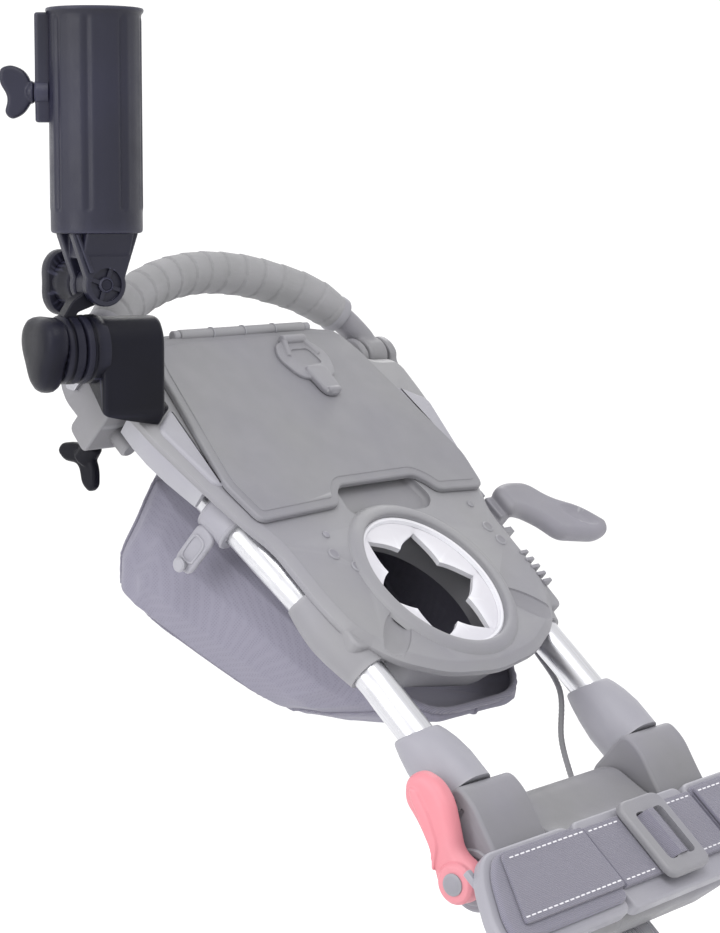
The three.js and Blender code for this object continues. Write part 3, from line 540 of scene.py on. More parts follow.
def block(x0, x1, y0, y1, z0, z1, corner=1.0, r=0.8):
    pts = rounded([(x0, y0), (x1, y0), (x1, y1), (x0, y1)], corner, 4)
    return slab(pts, z0, z1, r, r, 4)


def volume(mesh):
    b = bmesh.new()
    b.from_mesh(mesh)
    amount = b.calc_volume()
    b.free()
    return amount


def fuse(obj, made, operation="UNION", place=TILT):
    """Joins or cuts with further shapes in turn; one the exact solver trips over is nudged a little."""
    for part in made:
        before = volume(obj.data)
        for nudge in range(6):
            shift = Matrix.Translation(Vector((0.013, -0.017, 0.011)) * nudge)
            tool = new_object("tool", *part, None, place @ shift)
            size = volume(tool.data)
            m = obj.modifiers.new("b", "BOOLEAN")
            m.operation = operation
            m.solver = "EXACT"
            m.use_self = nudge > 0
            m.use_hole_tolerant = nudge > 2
            m.object = tool
            dg = bpy.context.evaluated_depsgraph_get()
            mesh = bpy.data.meshes.new_from_object(obj.evaluated_get(dg), depsgraph=dg)
            obj.modifiers.clear()
            bpy.data.objects.remove(tool)
            after = volume(mesh)
            if operation == "UNION":
                good = max(before, size) * 0.999 <= after <= (before + size) * 1.001
            else:
                good = before - size * 1.001 <= after <= before * 1.001
            if good:
                break
            bpy.data.meshes.remove(mesh)
        else:
            raise ValueError(obj.name + ": a shape could not be joined or cut")
        old = obj.data
        obj.data = mesh
        bpy.data.meshes.remove(old)
    return obj


def built(name, mat, add, take=(), place=TILT, angle=35):
    """A hard-edged piece: the first shape joined with the rest, then cut."""
    add = list(add)
    obj = new_object(name, *add[0], mat, place)
    fuse(obj, add[1:], "UNION", place)
    fuse(obj, take, "DIFFERENCE", place)
    return smooth(obj, angle)


def join(obj, *others):
    with bpy.context.temp_override(
        active_object=obj, selected_editable_objects=[obj, *others], selected_objects=[obj, *others]
    ):
        bpy.ops.object.join()
    return obj


def molded(name, mat, add, take=(), place=TILT, voxel=0.9, rounds=4, factor=0.6):
    """A piece with melted-together shapes: everything is remeshed finely and smoothed."""
    obj = new_object(name, *add[0], mat, place)
    extra = [new_object("part", *part, mat, place) for part in add[1:]]
    if extra:
        join(obj, *extra)
    modify(obj, "REMESH", mode="VOXEL", voxel_size=voxel * MM)
    if rounds:
        modify(obj, "SMOOTH", factor=factor, iterations=rounds)
    if take:
        fuse(obj, take, "DIFFERENCE", place)
        return smooth(obj, 50)
    return soften(obj)


def finish_piece(obj, body, node=None):
    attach(obj, body)
    if node:
        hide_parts(*([node] if isinstance(node, str) else node))
    return obj


# ---------- umbrella holder ----------
CUP_R, CUP_BORE, CUP_LOW, CUP_TOP = 27.0, 23.6, 212.0, 342.5
TILT_Z, SWIVEL_Z, SCREW_Z = 182.0, 144.0, 294
CUP_DIR = math.radians(151.3)
BOLT_X, BOLT_Y = 136, 172  # the holder's wing bolt, and its mirror image through the other bracket
Y_AXIS = Matrix.Rotation(math.radians(-90), 4, "X")  # +Z to +Y
INTO_HOLDER = HOLDER.inverted() @ TILT
IN_CUP_DIR = Matrix.Rotation(CUP_DIR, 4, "Z")


def umbrella_cup():
    sides = 192

    def ring(r, z, flutes=0.0):
        out = []
        for i in range(sides):
            a = math.tau * i / sides
            off = (math.degrees(a) - 11 + 22.5) % 45 - 22.5
            groove = flutes * math.exp(-((off / 3.4) ** 2))
            shoulder = 0.25 * flutes * math.exp(-(((abs(off) - 8) / 4) ** 2))
            rr = r - groove + shoulder
            out.append((rr * math.cos(a), rr * math.sin(a), z))
        return out

    rings = [ring(0.0, CUP_LOW), ring(CUP_R - 2, CUP_LOW), ring(CUP_R - 0.5, CUP_LOW + 0.6),
        ring(CUP_R, CUP_LOW + 2)]
    rings += [ring(CUP_R, CUP_LOW + 12), ring(CUP_R, CUP_LOW + 13.5, 0.3)]
    rings += [ring(CUP_R, CUP_LOW + 15 + k * 9.8, 1.1) for k in range(12)]
    rings += [ring(CUP_R, CUP_TOP - 5), ring(CUP_R + 0.4, CUP_TOP - 3.4), ring(CUP_R + 1.3, CUP_TOP - 2.4)]
    rings += [ring(CUP_R + 1.6, CUP_TOP - 1.4), ring(CUP_R + 1.3, CUP_TOP - 0.3), ring(CUP_R + 0.6, CUP_TOP)]
    rings += [ring(CUP_BORE + 0.8, CUP_TOP), ring(CUP_BORE, CUP_TOP - 1), ring(CUP_BORE, CUP_LOW + 18)]
    rings += [ring(CUP_BORE - 2, CUP_LOW + 16), ring(0.0, CUP_LOW + 16)]
    rib = moved(block(CUP_BORE + 1, CUP_R + 8, -5, 5, CUP_TOP - 66, CUP_TOP - 2.5, 3, 1.5), IN_CUP_DIR)
    rib_boss = moved(rod((CUP_R - 1, 0, SCREW_Z), (CUP_R + 8.2, 0, SCREW_Z), 7.5, 40, 1), IN_CUP_DIR)
    skirt = [(TILT_Z + 2, -11.5), (CUP_LOW + 1.5, -21.5), (CUP_LOW + 1.5, 21.5), (TILT_Z + 2, 11.5)]
    crown = [(-13, TILT_Z + 15.4), (-20.5, CUP_LOW + 1.5), (20.5, CUP_LOW + 1.5), (13, TILT_Z + 15.4)]
    arms = []
    for y0, y1 in ((-13, -6), (6, 13)):
        arms += [prism(skirt, y0, y1, "zx", 1.0, 3), rod((0, y0, TILT_Z), (0, y1, TILT_Z), 12.8, 64, 0.8)]
    clevis = molded(
        "clevis_rough", "black", arms + [prism(crown, -15, 15, "yz", 1, 3)], place=HOLDER, voxel=0.6, rounds=3
    )
    # The boss's face: a dished ring with four spokes and a round hub, and two ribs up to the cup.
    fuse(clevis, [rod((0, -14, TILT_Z), (0, -10.6, TILT_Z), 9.8, 64, 0.2)], "DIFFERENCE", HOLDER)
    spokes = [rod((0, -13.3, TILT_Z), (0, -9, TILT_Z), 4.6, 40, 0.8)]
    for k in range(4):
        turn = Matrix.Translation((0, 0, TILT_Z)) @ Matrix.Rotation(math.radians(20 + 90 * k), 4, "Y")
        spokes.append(moved(block(3, 10.6, -12.4, -9, -1.3, 1.3, 0.6, 0.4), turn))
    for x0, x1 in ((-9.5, -19), (9.5, 19)):
        spokes.append(moved(block(-1.3, 1.3, -14.6, -11, 0, 25, 0.8, 0.8),
            Matrix.Translation((x0, 0, TILT_Z + 7))
                            @ Matrix.Rotation(math.atan2(x1 - x0, 25), 4, "Y")))
    fuse(clevis, spokes, "UNION", HOLDER)
    slot = block(-13.8, 13.8, -6, 6, TILT_Z - 22, TILT_Z + 14.4, 1, 0.3)
    fuse(clevis, [slot, rod((0, -40, TILT_Z), (0, 40, TILT_Z), 3.4, 24)], "DIFFERENCE", HOLDER)
    finish_piece(smooth(clevis, 40), "umbrella_cup", None)
    clevis.name = "umbrella_clevis"
    cup = new_object("umbrella_cup_body", *loft(rings), "black", HOLDER)
    fuse(cup, [rib, rib_boss], "UNION", HOLDER)
    fuse(cup, [moved(rod((CUP_BORE + 1.5, 0, SCREW_Z), (40, 0, SCREW_Z), 3.4, 24), IN_CUP_DIR)],
        "DIFFERENCE", HOLDER)
    finish_piece(smooth(cup, 40), "umbrella_cup", "umbrella_cup")


def wing(points, lo, hi, axes, r=2.4, corner=5):
    return prism(points, lo, hi, axes, r, corner)


def grip_screw():
    z = SCREW_Z
    blade = [(z - 6, 37), (z - 13, 42), (z - 16, 49), (z - 12, 53), (z - 3, 50.5), (z + 6, 56),
        (z + 14, 55.5),
             (z + 16, 49), (z + 13, 41), (z + 6, 37)]
    parts = [
        rod((20, 0, z), (40, 0, z), 3, 32),
        rod((CUP_R + 8.6, 0, z), (40, 0, z), 6.8, 40, 1, 5.6),
        wing(blade, -4, 4, "zx"),
    ]
    obj = molded("umbrella_screw", "black", [moved(p, IN_CUP_DIR) for p in parts], place=HOLDER, voxel=0.6)
    finish_piece(obj, "umbrella_grip", "umbrella_grip_screw")


def tilt_knob():
    at = Matrix.Translation((0, 0, TILT_Z)) @ Y_AXIS
    shaft = moved(turned([(3, -13), (3, 16)], 24), at)
    hub = moved(turned([(0.0, 13.5), (12.4, 13.5), (13.2, 14.5), (13.6, 22), (14.6, 26), (14.6, 34), (13, 36),
                        (0.0, 36)], 64), at)
    face = [(0.0, 34), (15, 34), (17.8, 35.4), (18.8, 38), (18.8, 44), (17.6, 47.6), (14, 49.6), (8, 50.2),
        (0.0, 50.4)]
    head = moved(turned(face, 96, 3, 0.13), at)
    dish = moved(turned([(0.0, 49.4), (8.4, 49.6), (8.4, 53), (0.0, 53)], 48), at)
    obj = built("tilt_knob_body", "jet", [hub, head, shaft], [dish], HOLDER, 40)
    finish_piece(obj, "tilt_knob", "tilt_knob")


def swivel_knob():
    at = Matrix.Translation((0, 0, SWIVEL_Z)) @ AXES["yz"]
    face = [(0.0, -42.4), (9, -42.3), (15, -41.7), (18.6, -40.6), (20.8, -38.9), (21.9, -36.6),
        (22.25, -33.4),
            (21.9, -30.6), (20.6, -28.4), (18.6, -27.4), (0.0, -27.4)]
    head = moved(turned(face, 120, 3, 0.125, math.pi / 6), at)
    shaft = moved(turned([(3.3, -28.5), (3.3, 3.5)], 24), at)
    obj = built("swivel_knob_body", "jet", [head, shaft], (), HOLDER, 40)
    finish_piece(obj, "swivel_knob", "swivel_knob")


def swivel_head():
    at = Matrix.Translation((0, 0, SWIVEL_Z)) @ AXES["yz"]
    disc = moved(turned([(3.8, -26.9), (18.2, -26.9), (19.6, -26.2), (20.2, -25), (20.2, -23.4),
        (19.3, -22.8),
                         (19.3, -21.8), (20.4, -21.2), (20.4, -17.4), (19.6, -16), (18.4, -15.5),
                         (3.8, -15.5)], 96), at)
    neck = prism(
        [(SWIVEL_Z, -26.6), (SWIVEL_Z, -15.8), (SWIVEL_Z + 21.6, -15.8), (TILT_Z - 12.5, -5), (TILT_Z - 8, 8),
         (TILT_Z, 0), (TILT_Z - 4, -10), (TILT_Z - 9, -18), (SWIVEL_Z + 15.6, -26.6)],
        -5.4, 5.4, "zx", 1.2, 2.5)
    knuckle = rod((0, -5.5, TILT_Z), (0, 5.5, TILT_Z), 11.8, 64, 0.6)
    holes = [rod((0, -20, TILT_Z), (0, 20, TILT_Z), 3.4, 24),
        rod((-40, 0, SWIVEL_Z), (0, 0, SWIVEL_Z), 3.8, 24)]
    obj = built("swivel_head_body", "jet", [disc, neck, knuckle], holes, HOLDER, 40)
    finish_piece(obj, "umbrella_head", "swivel_head")


def umbrella_mount():
    at = Matrix.Translation((0, 0, SWIVEL_Z)) @ AXES["yz"]
    side = [(-17, 104), (-8, 96), (6, 98), (17, 108), (17.5, 150), (9, 163), (-10, 163), (-17.5, 152)]
    body = prism(side, -4, 36, "yz", 3.2, 12)
    collar = moved(turned([(3.8, -15), (18.6, -15), (20.2, -13.8), (20.4, -10.6), (19.4, -9.8), (19.4, -8.6),
                           (20.4, -7.8), (20.6, -4), (19.5, 0), (3.8, 0)], 96), at)
    foot = moved(slab(rounded([(-140, 151), (-120, 151), (-120, 184), (-140, 188)], 4), 0.4, 8.5, 2, 0.2),
        INTO_HOLDER)
    lug = moved(rod((-BOLT_X, BOLT_Y, 0.4), (-BOLT_X, BOLT_Y, 15), 9, 48, 1.5), INTO_HOLDER)
    below = moved(cuboid(-400, 0, 0, 400, -200, 0.4, 0), INTO_HOLDER)
    shaft = moved(rod((-BOLT_X, BOLT_Y, -5), (-BOLT_X, BOLT_Y, 14.6), 3.8, 24), INTO_HOLDER)
    bore = rod((-20, 0, SWIVEL_Z), (5, 0, SWIVEL_Z), 3.8, 24)
    obj = built("umbrella_mount_body", "jet", [body, collar, foot, lug], [below, shaft, bore], HOLDER, 40)
    finish_piece(obj, "upper_frame", "umbrella_mount")


def wing_bolt():
    x, y = -BOLT_X, BOLT_Y
    blade = [(y - 4, -48), (y - 12, -52), (y - 19, -60), (y - 18, -66), (y - 10, -66.5), (y, -59),
        (y + 10, -66.5),
             (y + 18, -66), (y + 19, -60), (y + 12, -52), (y + 4, -48)]
    parts = [rod((x, y, -54), (x, y, 14.2), 3.3, 32), rod((x, y, -56), (x, y, -42.6), 7.2, 48, 1.2, 6.2),
             wing(blade, x - 3.6, x + 3.6, "yz", 2.4, 5)]
    obj = molded("wing_bolt_body", "jet", parts, voxel=0.6)
    finish_piece(obj, "wing_bolt", "mount_wing_bolt")


umbrella_cup()
grip_screw()
tilt_knob()
swivel_knob()
swivel_head()
umbrella_mount()
wing_bolt()


# ---------- console ----------
TUBE_N, TUBE_R, TUBE_X = -19.3, 10.5, 88.7


def tube_bow(y):
    return TUBE_X + max(0.0, (y + 45) * 0.123)


def one_side(side, made):
    """The shape itself on the right, its mirror image on the left."""
    verts, faces = made
    if side > 0:
        return made
    return [(-x, y, z) for x, y, z in verts], [tuple(reversed(f)) for f in faces]


CONSOLE_HALF = [(0, -72), (45, -66), (80, -50), (102, -26), (107, 0), (108, 45), (117, 64), (126, 92),
    (139, 145),
                (142, 178), (136, 186), (112, 187), (100, 198), (92, 218), (60, 222), (0, 222)]
TRAY_HALF = [(0, -64), (66, -52), (76, -38), (77, -20), (81, 40), (88, 100), (95, 160), (92, 196), (60, 208),
    (0, 208)]
LID = [(-111, 61), (-36, 64), (-30, 73), (-22, 79), (52, 79), (60, 73), (66, 64), (111, 61), (118, 92),
    (99, 190),
       (90, 210), (62, 213), (-62, 213), (-90, 210), (-99, 190), (-118, 92)]
RING_R = 52.5


def screw_head(x, y, n, r=3.2):
    return moved(turned([(0, -0.5), (r, -0.5), (r, 0.5), (r * 0.8, 1.1), (r * 0.4, 1.4), (0, 1.45)], 28),
                 Matrix.Translation((x, y, n)))


def console():
    plate = slab(rounded(mirror_half(CONSOLE_HALF), 13, 8), -8, 0, bottom=1.5, chamfer=(6.5, 3.4))
    tray = slab(rounded(mirror_half(TRAY_HALF), 10, 8), -32, -5, 1, 7)
    rim = turned([(RING_R - 0.2, -2), (RING_R + 10.5, -2), (RING_R + 9, 0.8), (RING_R + 7, 2.4),
        (RING_R + 4, 3.7),
                  (RING_R + 1.4, 3.9), (RING_R, 2.9), (RING_R - 0.2, 1.5)], 128)
    rim = loft([rim[0][k * 128:(k + 1) * 128] for k in range(8)], caps=False, closed=True)
    # The flanks wrap the two tubes where they leave the console.
    flanks = []
    for side in (-1, 1):
        path = [(side * tube_bow(y), y, TUBE_N + lift) for y,
            lift in ((14, 3), (2, 1.6), (-12, 0), (-28, 0), (-43, 0))]
        shape = sweep(catmull(path, 4), lambda t, a, run: 12.2 + 3.6 * math.sin(math.pi * min(1,
            0.15 + t * 0.8)), 48)
        flanks.append(shape)
        flanks.append(moved(slab(rounded([(-13, -34), (13, -38), (15, 6), (-9, 12)], 7), TUBE_N, -3, 2, 2),
                            Matrix.Translation((side * (TUBE_X + 2), 0, 0))))
    body = new_object("console_body", *plate, "shell")
    fuse(body, [tray] + flanks, "UNION")
    well = rod((0, 0, -60), (0, 0, 30), RING_R, 128, 0.1)
    pocket = slab(rounded(mirror_half([(0, 84), (78, 84), (84, 150), (80, 190), (0, 196)]), 8), -28, 5, 0.2,
        3)
    finger = slab(rounded([(-27, 60), (-18, 54), (48, 54), (58, 62), (52, 90), (-22, 90)], 8), -5, 8, 0.2, 3)
    takes = [well, pocket, finger]
    for x, y in ((-58, 19), (-69, 31), (90, 19), (88, 31)):
        takes.append(rod((x, y, -7), (x, y, 5), 2.6, 28, 0.2))
    takes.append(rod((-BOLT_X, BOLT_Y, -20), (-BOLT_X, BOLT_Y, 5), 4.2, 32, 0.2))
    for side in (-1, 1):
        rail = [(side * tube_bow(y), y, TUBE_N) for y in (200, 120, 60, 30, 0, -45, -60, -90)]
        takes.append(sweep(catmull(rail, 3), TUBE_R + 0.15, 40))
        # A shallow scoop between the ring and each flank.
        takes.append(moved(turned([(0, -9), (6, -8), (9, -4), (10, 3), (0, 3)], 40),
                           Matrix.Translation((side * 68, -33, 0.5)) @ Matrix.Rotation(side * 0.9, 4, "Z")
                           @ Matrix.Diagonal((1.0, 2.6, 0.45, 1))))
    fuse(body, takes, "DIFFERENCE")
    finish_piece(smooth(body, 28), "upper_frame", "console_base")
    ring = new_object("ring_rim", *rim, "shell")
    finish_piece(smooth(ring, 60), "upper_frame", None)
    bits = [screw_head(-21, 90, -4), screw_head(-63, 46, 0.2, 2.6), screw_head(89, 51, 0.2, 2.6)]
    for x, y in ((-58, 19), (-69, 31), (90, 19), (88, 31)):
        bits.append(moved(turned([(2.5, -2), (4.2, -1.2), (4.2, 0.3), (3.4, 0.9), (2.5, 0.3)], 32),
                          Matrix.Translation((x, y, 0.1))))
    for k in range(5):
        bits.append(block(98, 106.5, -20 + 6.2 * k, -17.2 + 6.2 * k, -4.5, 1.2, 1, 0.8))
    trim = new_object("console_trim", *bits[0], "dark")
    for made in bits[1:]:
        part = new_object("part", *made, "dark")
        join(trim, part)
    finish_piece(smooth(trim, 40), "upper_frame", None)
    for side, name in ((-1, "left"), (1, "right")):
        # A skirt hangs from the console's outer edge and hides the tube.
        rings = []
        for y, edge in ((96, 127), (106, 129.5), (120, 132.8), (135, 136.5), (148, 139.5), (160, 140.5)):
            drop = -23 + 3 * abs(y - 128) / 32
            rings.append([(side * x, y, n) for x, n in (
                (edge - 7, -1.2), (edge - 3, -2.2), (edge - 0.8, -5), (edge - 0.6, -10),
                (edge - 2.2, drop + 1),
                (edge - 3.4, drop), (edge - 4.8, drop + 1), (edge - 4.4, -10), (edge - 6, -6.4),
                (edge - 9, -5))])
        skirt = new_object("skirt_" + name, *loft(rings), "facet")
        finish_piece(smooth(skirt, 50), "upper_frame", None)
        shoulder = [(side * x, y) for x, y in ((116, 92), (122, 96), (133, 143), (110, 158))]
        obj = new_object("shoulder_" + name, *slab(rounded(shoulder, 6), -3, 1.8, chamfer=(2.0, 1.2)),
            "facet")
        finish_piece(smooth(obj, 24), "upper_frame", None)


def gathered(name, mat, parts, place=TILT, angle=40):
    """Many small shapes kept as one piece."""
    verts, faces = [], []
    for v, f in parts:
        base = len(verts)
        verts += v
        faces += [tuple(base + i for i in face) for face in f]
    return smooth(new_object(name, verts, faces, mat, place), angle)


def console_lid():
    top = slab(rounded(LID, 7, 6), 0.4, 4.4, 1.6, 0.6)
    panel = slab(inset(rounded(LID, 9, 6), 6), 3.6, 4.9, 0.6, 0.2)
    barrel = rod((-60, 214, 4.2), (60, 214, 4.2), 3.4, 40, 0.6)
    ends = [rod((s * 60.4, 214, 4.2), (s * 66, 214, 4.2), 3.0, 32, 0.6) for s in (-1, 1)]
    grooves = [moved(turned([(2.9, -0.5), (4, -0.5), (4, 0.5), (2.9, 0.5)], 40),
        aim((x, 214, 4.2), (1, 0, 0)))
               for x in (-30, 0, 30)]
    obj = built("console_lid_body", "lid", [top, panel, barrel], [], angle=30)
    finish_piece(obj, "lid", "console_lid")
    finish_piece(gathered("lid_hinge_ends", "dark", ends + grooves), "upper_frame", None)


def scorecard_clip():
    z = 4.75
    pad = slab(rounded([(18, 166), (52, 166), (60, 186), (52, 199.5), (18, 199.5), (10, 186)], 9), z,
        z + 2.6, 1, 0.2)
    tongue = slab(rounded([(27, 150), (43, 150), (46, 176), (24, 176)], 7), z + 0.6, z + 4.6, 1.6, 0.6)
    lip = rod((29, 153, z + 4), (41, 153, z + 4), 2.2, 32, 0.8)
    barrel = rod((24, 200, z + 3.5), (46, 200, z + 3.5), 3.2, 40, 0.6)
    arms = [rod((x, 186, z + 2.4), (x * 0.6 + 14, 200, z + 3.4), 2.2, 24, 0.6) for x in (20, 50)]
    window = slab(rounded([(22, 178), (48, 178), (44, 192), (26, 192)], 4), z + 1.4, z + 6, 0.2, 0.4)
    obj = molded("clip_body", "shell", [pad, tongue, lip, barrel] + arms, [window], voxel=0.45, rounds=2)
    finish_piece(obj, "clip", "scorecard_clip")


def star_insert():
    """Six soft flaps that dip round a star-shaped mouth."""
    sides = 180
    outer = RING_R - 0.35

    def star(a):
        off = abs((math.degrees(a) + 30) % 60 - 30)
        tip, notch = Vector((46.5, 0)), Vector((30 * math.cos(math.pi / 6), 30 * math.sin(math.pi / 6)))
        edge = notch - tip
        u = Vector((math.cos(math.radians(off)), math.sin(math.radians(off))))
        straight = (tip.x * edge.y - tip.y * edge.x) / (u.x * edge.y - u.y * edge.x)
        return straight + 1.6 * math.sin(math.pi * off / 30)

    levels = []
    for share, dip in ((0, 0), (0.06, 0.3), (0.35, 0.5), (0.7, 1.4), (1, 3.0)):
        levels.append((share, -3 - dip))
    for share, dip in ((1, 6.2), (0.7, 4.6), (0.35, 4.0), (0, 4.0)):
        levels.append((share, -3 - dip))
    rings = []
    for share, z in levels:
        ring = []
        for i in range(sides):
            a = math.tau * i / sides
            r = outer + (star(a) - outer) * share
            ring.append((r * math.cos(a), r * math.sin(a), z))
        rings.append(ring)
    obj = new_object("ball_star", *loft(rings, caps=False, closed=True), "insert")
    lip = turned([(outer - 3, -3.2), (outer, -3.2), (outer, -1), (outer - 1, -0.4), (outer - 2.4, -1)], sides)
    lip = loft([lip[0][k * sides:(k + 1) * sides] for k in range(5)], caps=False, closed=True)
    smooth(join(obj, new_object("part", *lip, "insert")), 40)
    finish_piece(obj, "upper_frame", "star_insert")


console()
console_lid()
scorecard_clip()
star_insert()


# ---------- handle ----------
BOW = [(133, 203, -12), (130, 212, -8), (112, 228, 0), (86, 243, 6), (55, 255, 8), (30, 261, 9), (0, 264, 9)]
BOW += [(-x, y, n) for x, y, n in reversed(BOW[:-1])]
HANDLE_Y, HANDLE_N = 200, -14


def handle():
    line = catmull(BOW, 10)
    core = sweep(line, 9, 40)
    hubs = [rod((s * 122, HANDLE_Y, HANDLE_N), (s * 141, HANDLE_Y, HANDLE_N), 12.5, 48, 1.4) for s in (-1, 1)]
    bores = [rod((s * 115, HANDLE_Y, HANDLE_N), (s * 150, HANDLE_Y, HANDLE_N), 3.4, 24) for s in (-1, 1)]
    bow = molded("handle_bow_body", "dark", [core] + hubs, bores, voxel=1.2, rounds=3)
    finish_piece(bow, "handle", "handle_bow")
    dense = catmull(BOW, 28)[2 * 28:-2 * 28]

    def wrapped(t, a, run):
        ends = min(1, 14 * t, 14 * (1 - t)) ** 0.5
        turn = (run / 17 + a / math.tau) % 1
        ridge = 0.5 * turn ** 2 - 0.8 * math.exp(-((turn * 17) ** 2) / 2) * (turn < 0.5)
        return 11.2 + ends * (2.4 + ridge)

    grip = new_object("foam_grip", *sweep(dense, wrapped, 72), "foam")
    soften(grip)
    finish_piece(grip, "handle", "handle_grip")
    collars = []
    for end in (0, -1):
        at = Vector(dense[end])
        along = (Vector(dense[1]) - Vector(dense[0])) if end == 0 else (Vector(dense[-1]) - Vector(dense[-2]))
        collars.append(moved(turned([(9, -3), (12.4, -3), (13, -2), (13, 2), (12.4, 3), (9, 3)], 48),
            aim(at, along)))
    finish_piece(gathered("grip_collars", "dark", collars), "handle", None)


def handle_brackets():
    for side, name in ((1, "right"), (-1, "left")):
        ear = [(176, -30), (176, -9), (188, -8), (192, -3), (200, -1.4), (209, -4), (213.5, -14), (209, -25),
            (198, -30)]
        parts = [
            prism([(166, -43), (166, -8.6), (185.2, -8.6), (185.2, -40)], 112, 149.5, "yz", 1.6, 5),
            prism(ear, 142.4, 149.5, "yz", 1.6, 5),
            prism(ear, 112.4, 118.6, "yz", 1.6, 5),
            rod((130, 152, -28), (130, 168, -28), 6, 32, 1.5),
        ]
        takes = [rod((100, HANDLE_Y, HANDLE_N), (160, HANDLE_Y, HANDLE_N), 3.4, 24),
                 rod((BOLT_X, BOLT_Y, -60), (BOLT_X, BOLT_Y, 5), 4.2, 24),
                 sweep([Vector((tube_bow(y), y, TUBE_N)) for y in (100, 140, 180, 200)], TUBE_R + 0.2, 40)]
        obj = built("handle_bracket_body_" + name, "dark", [one_side(side, p) for p in parts],
                    [one_side(side, p) for p in takes], angle=30)
        finish_piece(obj, "upper_frame", "handle_bracket_" + name)


handle()
handle_brackets()


# ---------- tubes, boots and hooks ----------
def tubes_and_boots():
    for side, name in ((-1, "left"), (1, "right")):
        line = [(side * tube_bow(y), y, TUBE_N) for y in (-135.8, -70, -45, 0, 60, 120, 167)]
        tube = new_object("tube_" + name, *sweep(catmull(line, 6), TUBE_R, 64), "alu")
        finish_piece(smooth(tube, 50), "upper_frame", "upper_tube_" + name)
        rings = []
        for y, r, square in ((-136, 18.2, 0.5), (-134.6, 19, 0.5), (-128, 19, 0.4), (-118, 18.5, 0.3),
            (-106, 16.9, 0.15),
                             (-97, 15.4, 0.05), (-92.4, 14.2, 0), (-90.6, 13.4, 0), (-90, 12.2, 0),
                             (-90.4, 10.95, 0),
                             (-100, 10.95, 0), (-135.9, 10.95, 0)):
            ring = []
            for i in range(96):
                a = math.tau * i / 96
                rr = r / (abs(math.cos(a)) ** (2 + 2 * square) + abs(math.sin(a)) ** (2 + 2 * square)) ** (
                    1 / (2 + 2 * square))
                rr = min(rr, 19.2)
                # The mouth is cut on a slant, which fades out down the sleeve.
                slant = 4.5 * math.sin(a) * (max(0, (y + 110) / 20) if y < -90.2 else 1)
                ring.append((side * TUBE_X + rr * math.cos(a),
                    y - slant,
                             TUBE_N + rr * math.sin(a)))
            rings.append(ring)
        boot = new_object("boot_sleeve_" + name, *loft(rings, caps=False, closed=True), "facet")
        finish_piece(smooth(boot, 50), "upper_frame", "boot_" + name)


def bag_hooks():
    y, x = 84, tube_bow(84)
    along = aim((x - 0.123 * 11, y - 11, TUBE_N), (0.123, 1, 0))
    # The sleeve is open under the console: its arc runs round the tube between the opening's edges.
    turn_n = (along.inverted().to_3x3() @ Vector((0, 0, 1))).normalized()
    top = math.atan2(turn_n.y, turn_n.x)
    for side, name in ((1, "right"), (-1, "left")):
        rings = []
        arc_start, arc_span = math.radians(50), math.radians(260)
        for z, out in ((0, 14.6), (0.5, 15.3), (1.4, 15.7), (2.4, 15), (19.6, 15), (20.6, 15.7),
            (21.5, 15.3), (22, 14.6)):
            ring = []
            for i in range(81):
                a = top + arc_start + arc_span * i / 80
                ring.append((out * math.cos(a), out * math.sin(a), z))
            for i in range(80, -1, -1):
                a = top + arc_start + arc_span * i / 80
                ring.append(((TUBE_R + 0.3) * math.cos(a), (TUBE_R + 0.3) * math.sin(a), z))
            rings.append(ring)
        sleeve = moved(loft(rings), along)
        tongue = prism([(y - 8, -62), (y - 8, -28), (y + 8, -28), (y + 8, -62)], x + 8.2, x + 13, "yz", 2.2,
            7)
        rim = [(y + u, v) for u, v in ((-4.6, -52), (-4.6, -38), (0, -35.4), (4.6, -38), (4.6, -52),
            (0, -54.6))]
        ridge = sweep(catmull([(x + 13, u, v) for u, v in rim + rim[:1]], 8), 0.9, 12)
        lug = rod((x + 10, y, -58), (x + 16, y, -58), 3.4, 32, 1)
        knob = rod((x + 15, y, -58), (x + 17.4, y, -58), 4.6, 32, 1)
        obj = gathered("hook_" + name, "facet", [one_side(side, p) for p in (sleeve, tongue, ridge, lug,
            knob)], angle=35)
        finish_piece(obj, "upper_frame", "bag_hook_" + name)


# ---------- net bag ----------
BAG = [(62, -8, 118, -106, -124, 42), (71, -20, 133, -98, -121, 46), (73, -42, 146, -78, -106, 46),
       (72, -64, 158, -55, -78, 42), (68, -78, 167, -38, -58, 37), (60, -74, 156, -32.8, -46, 34)]


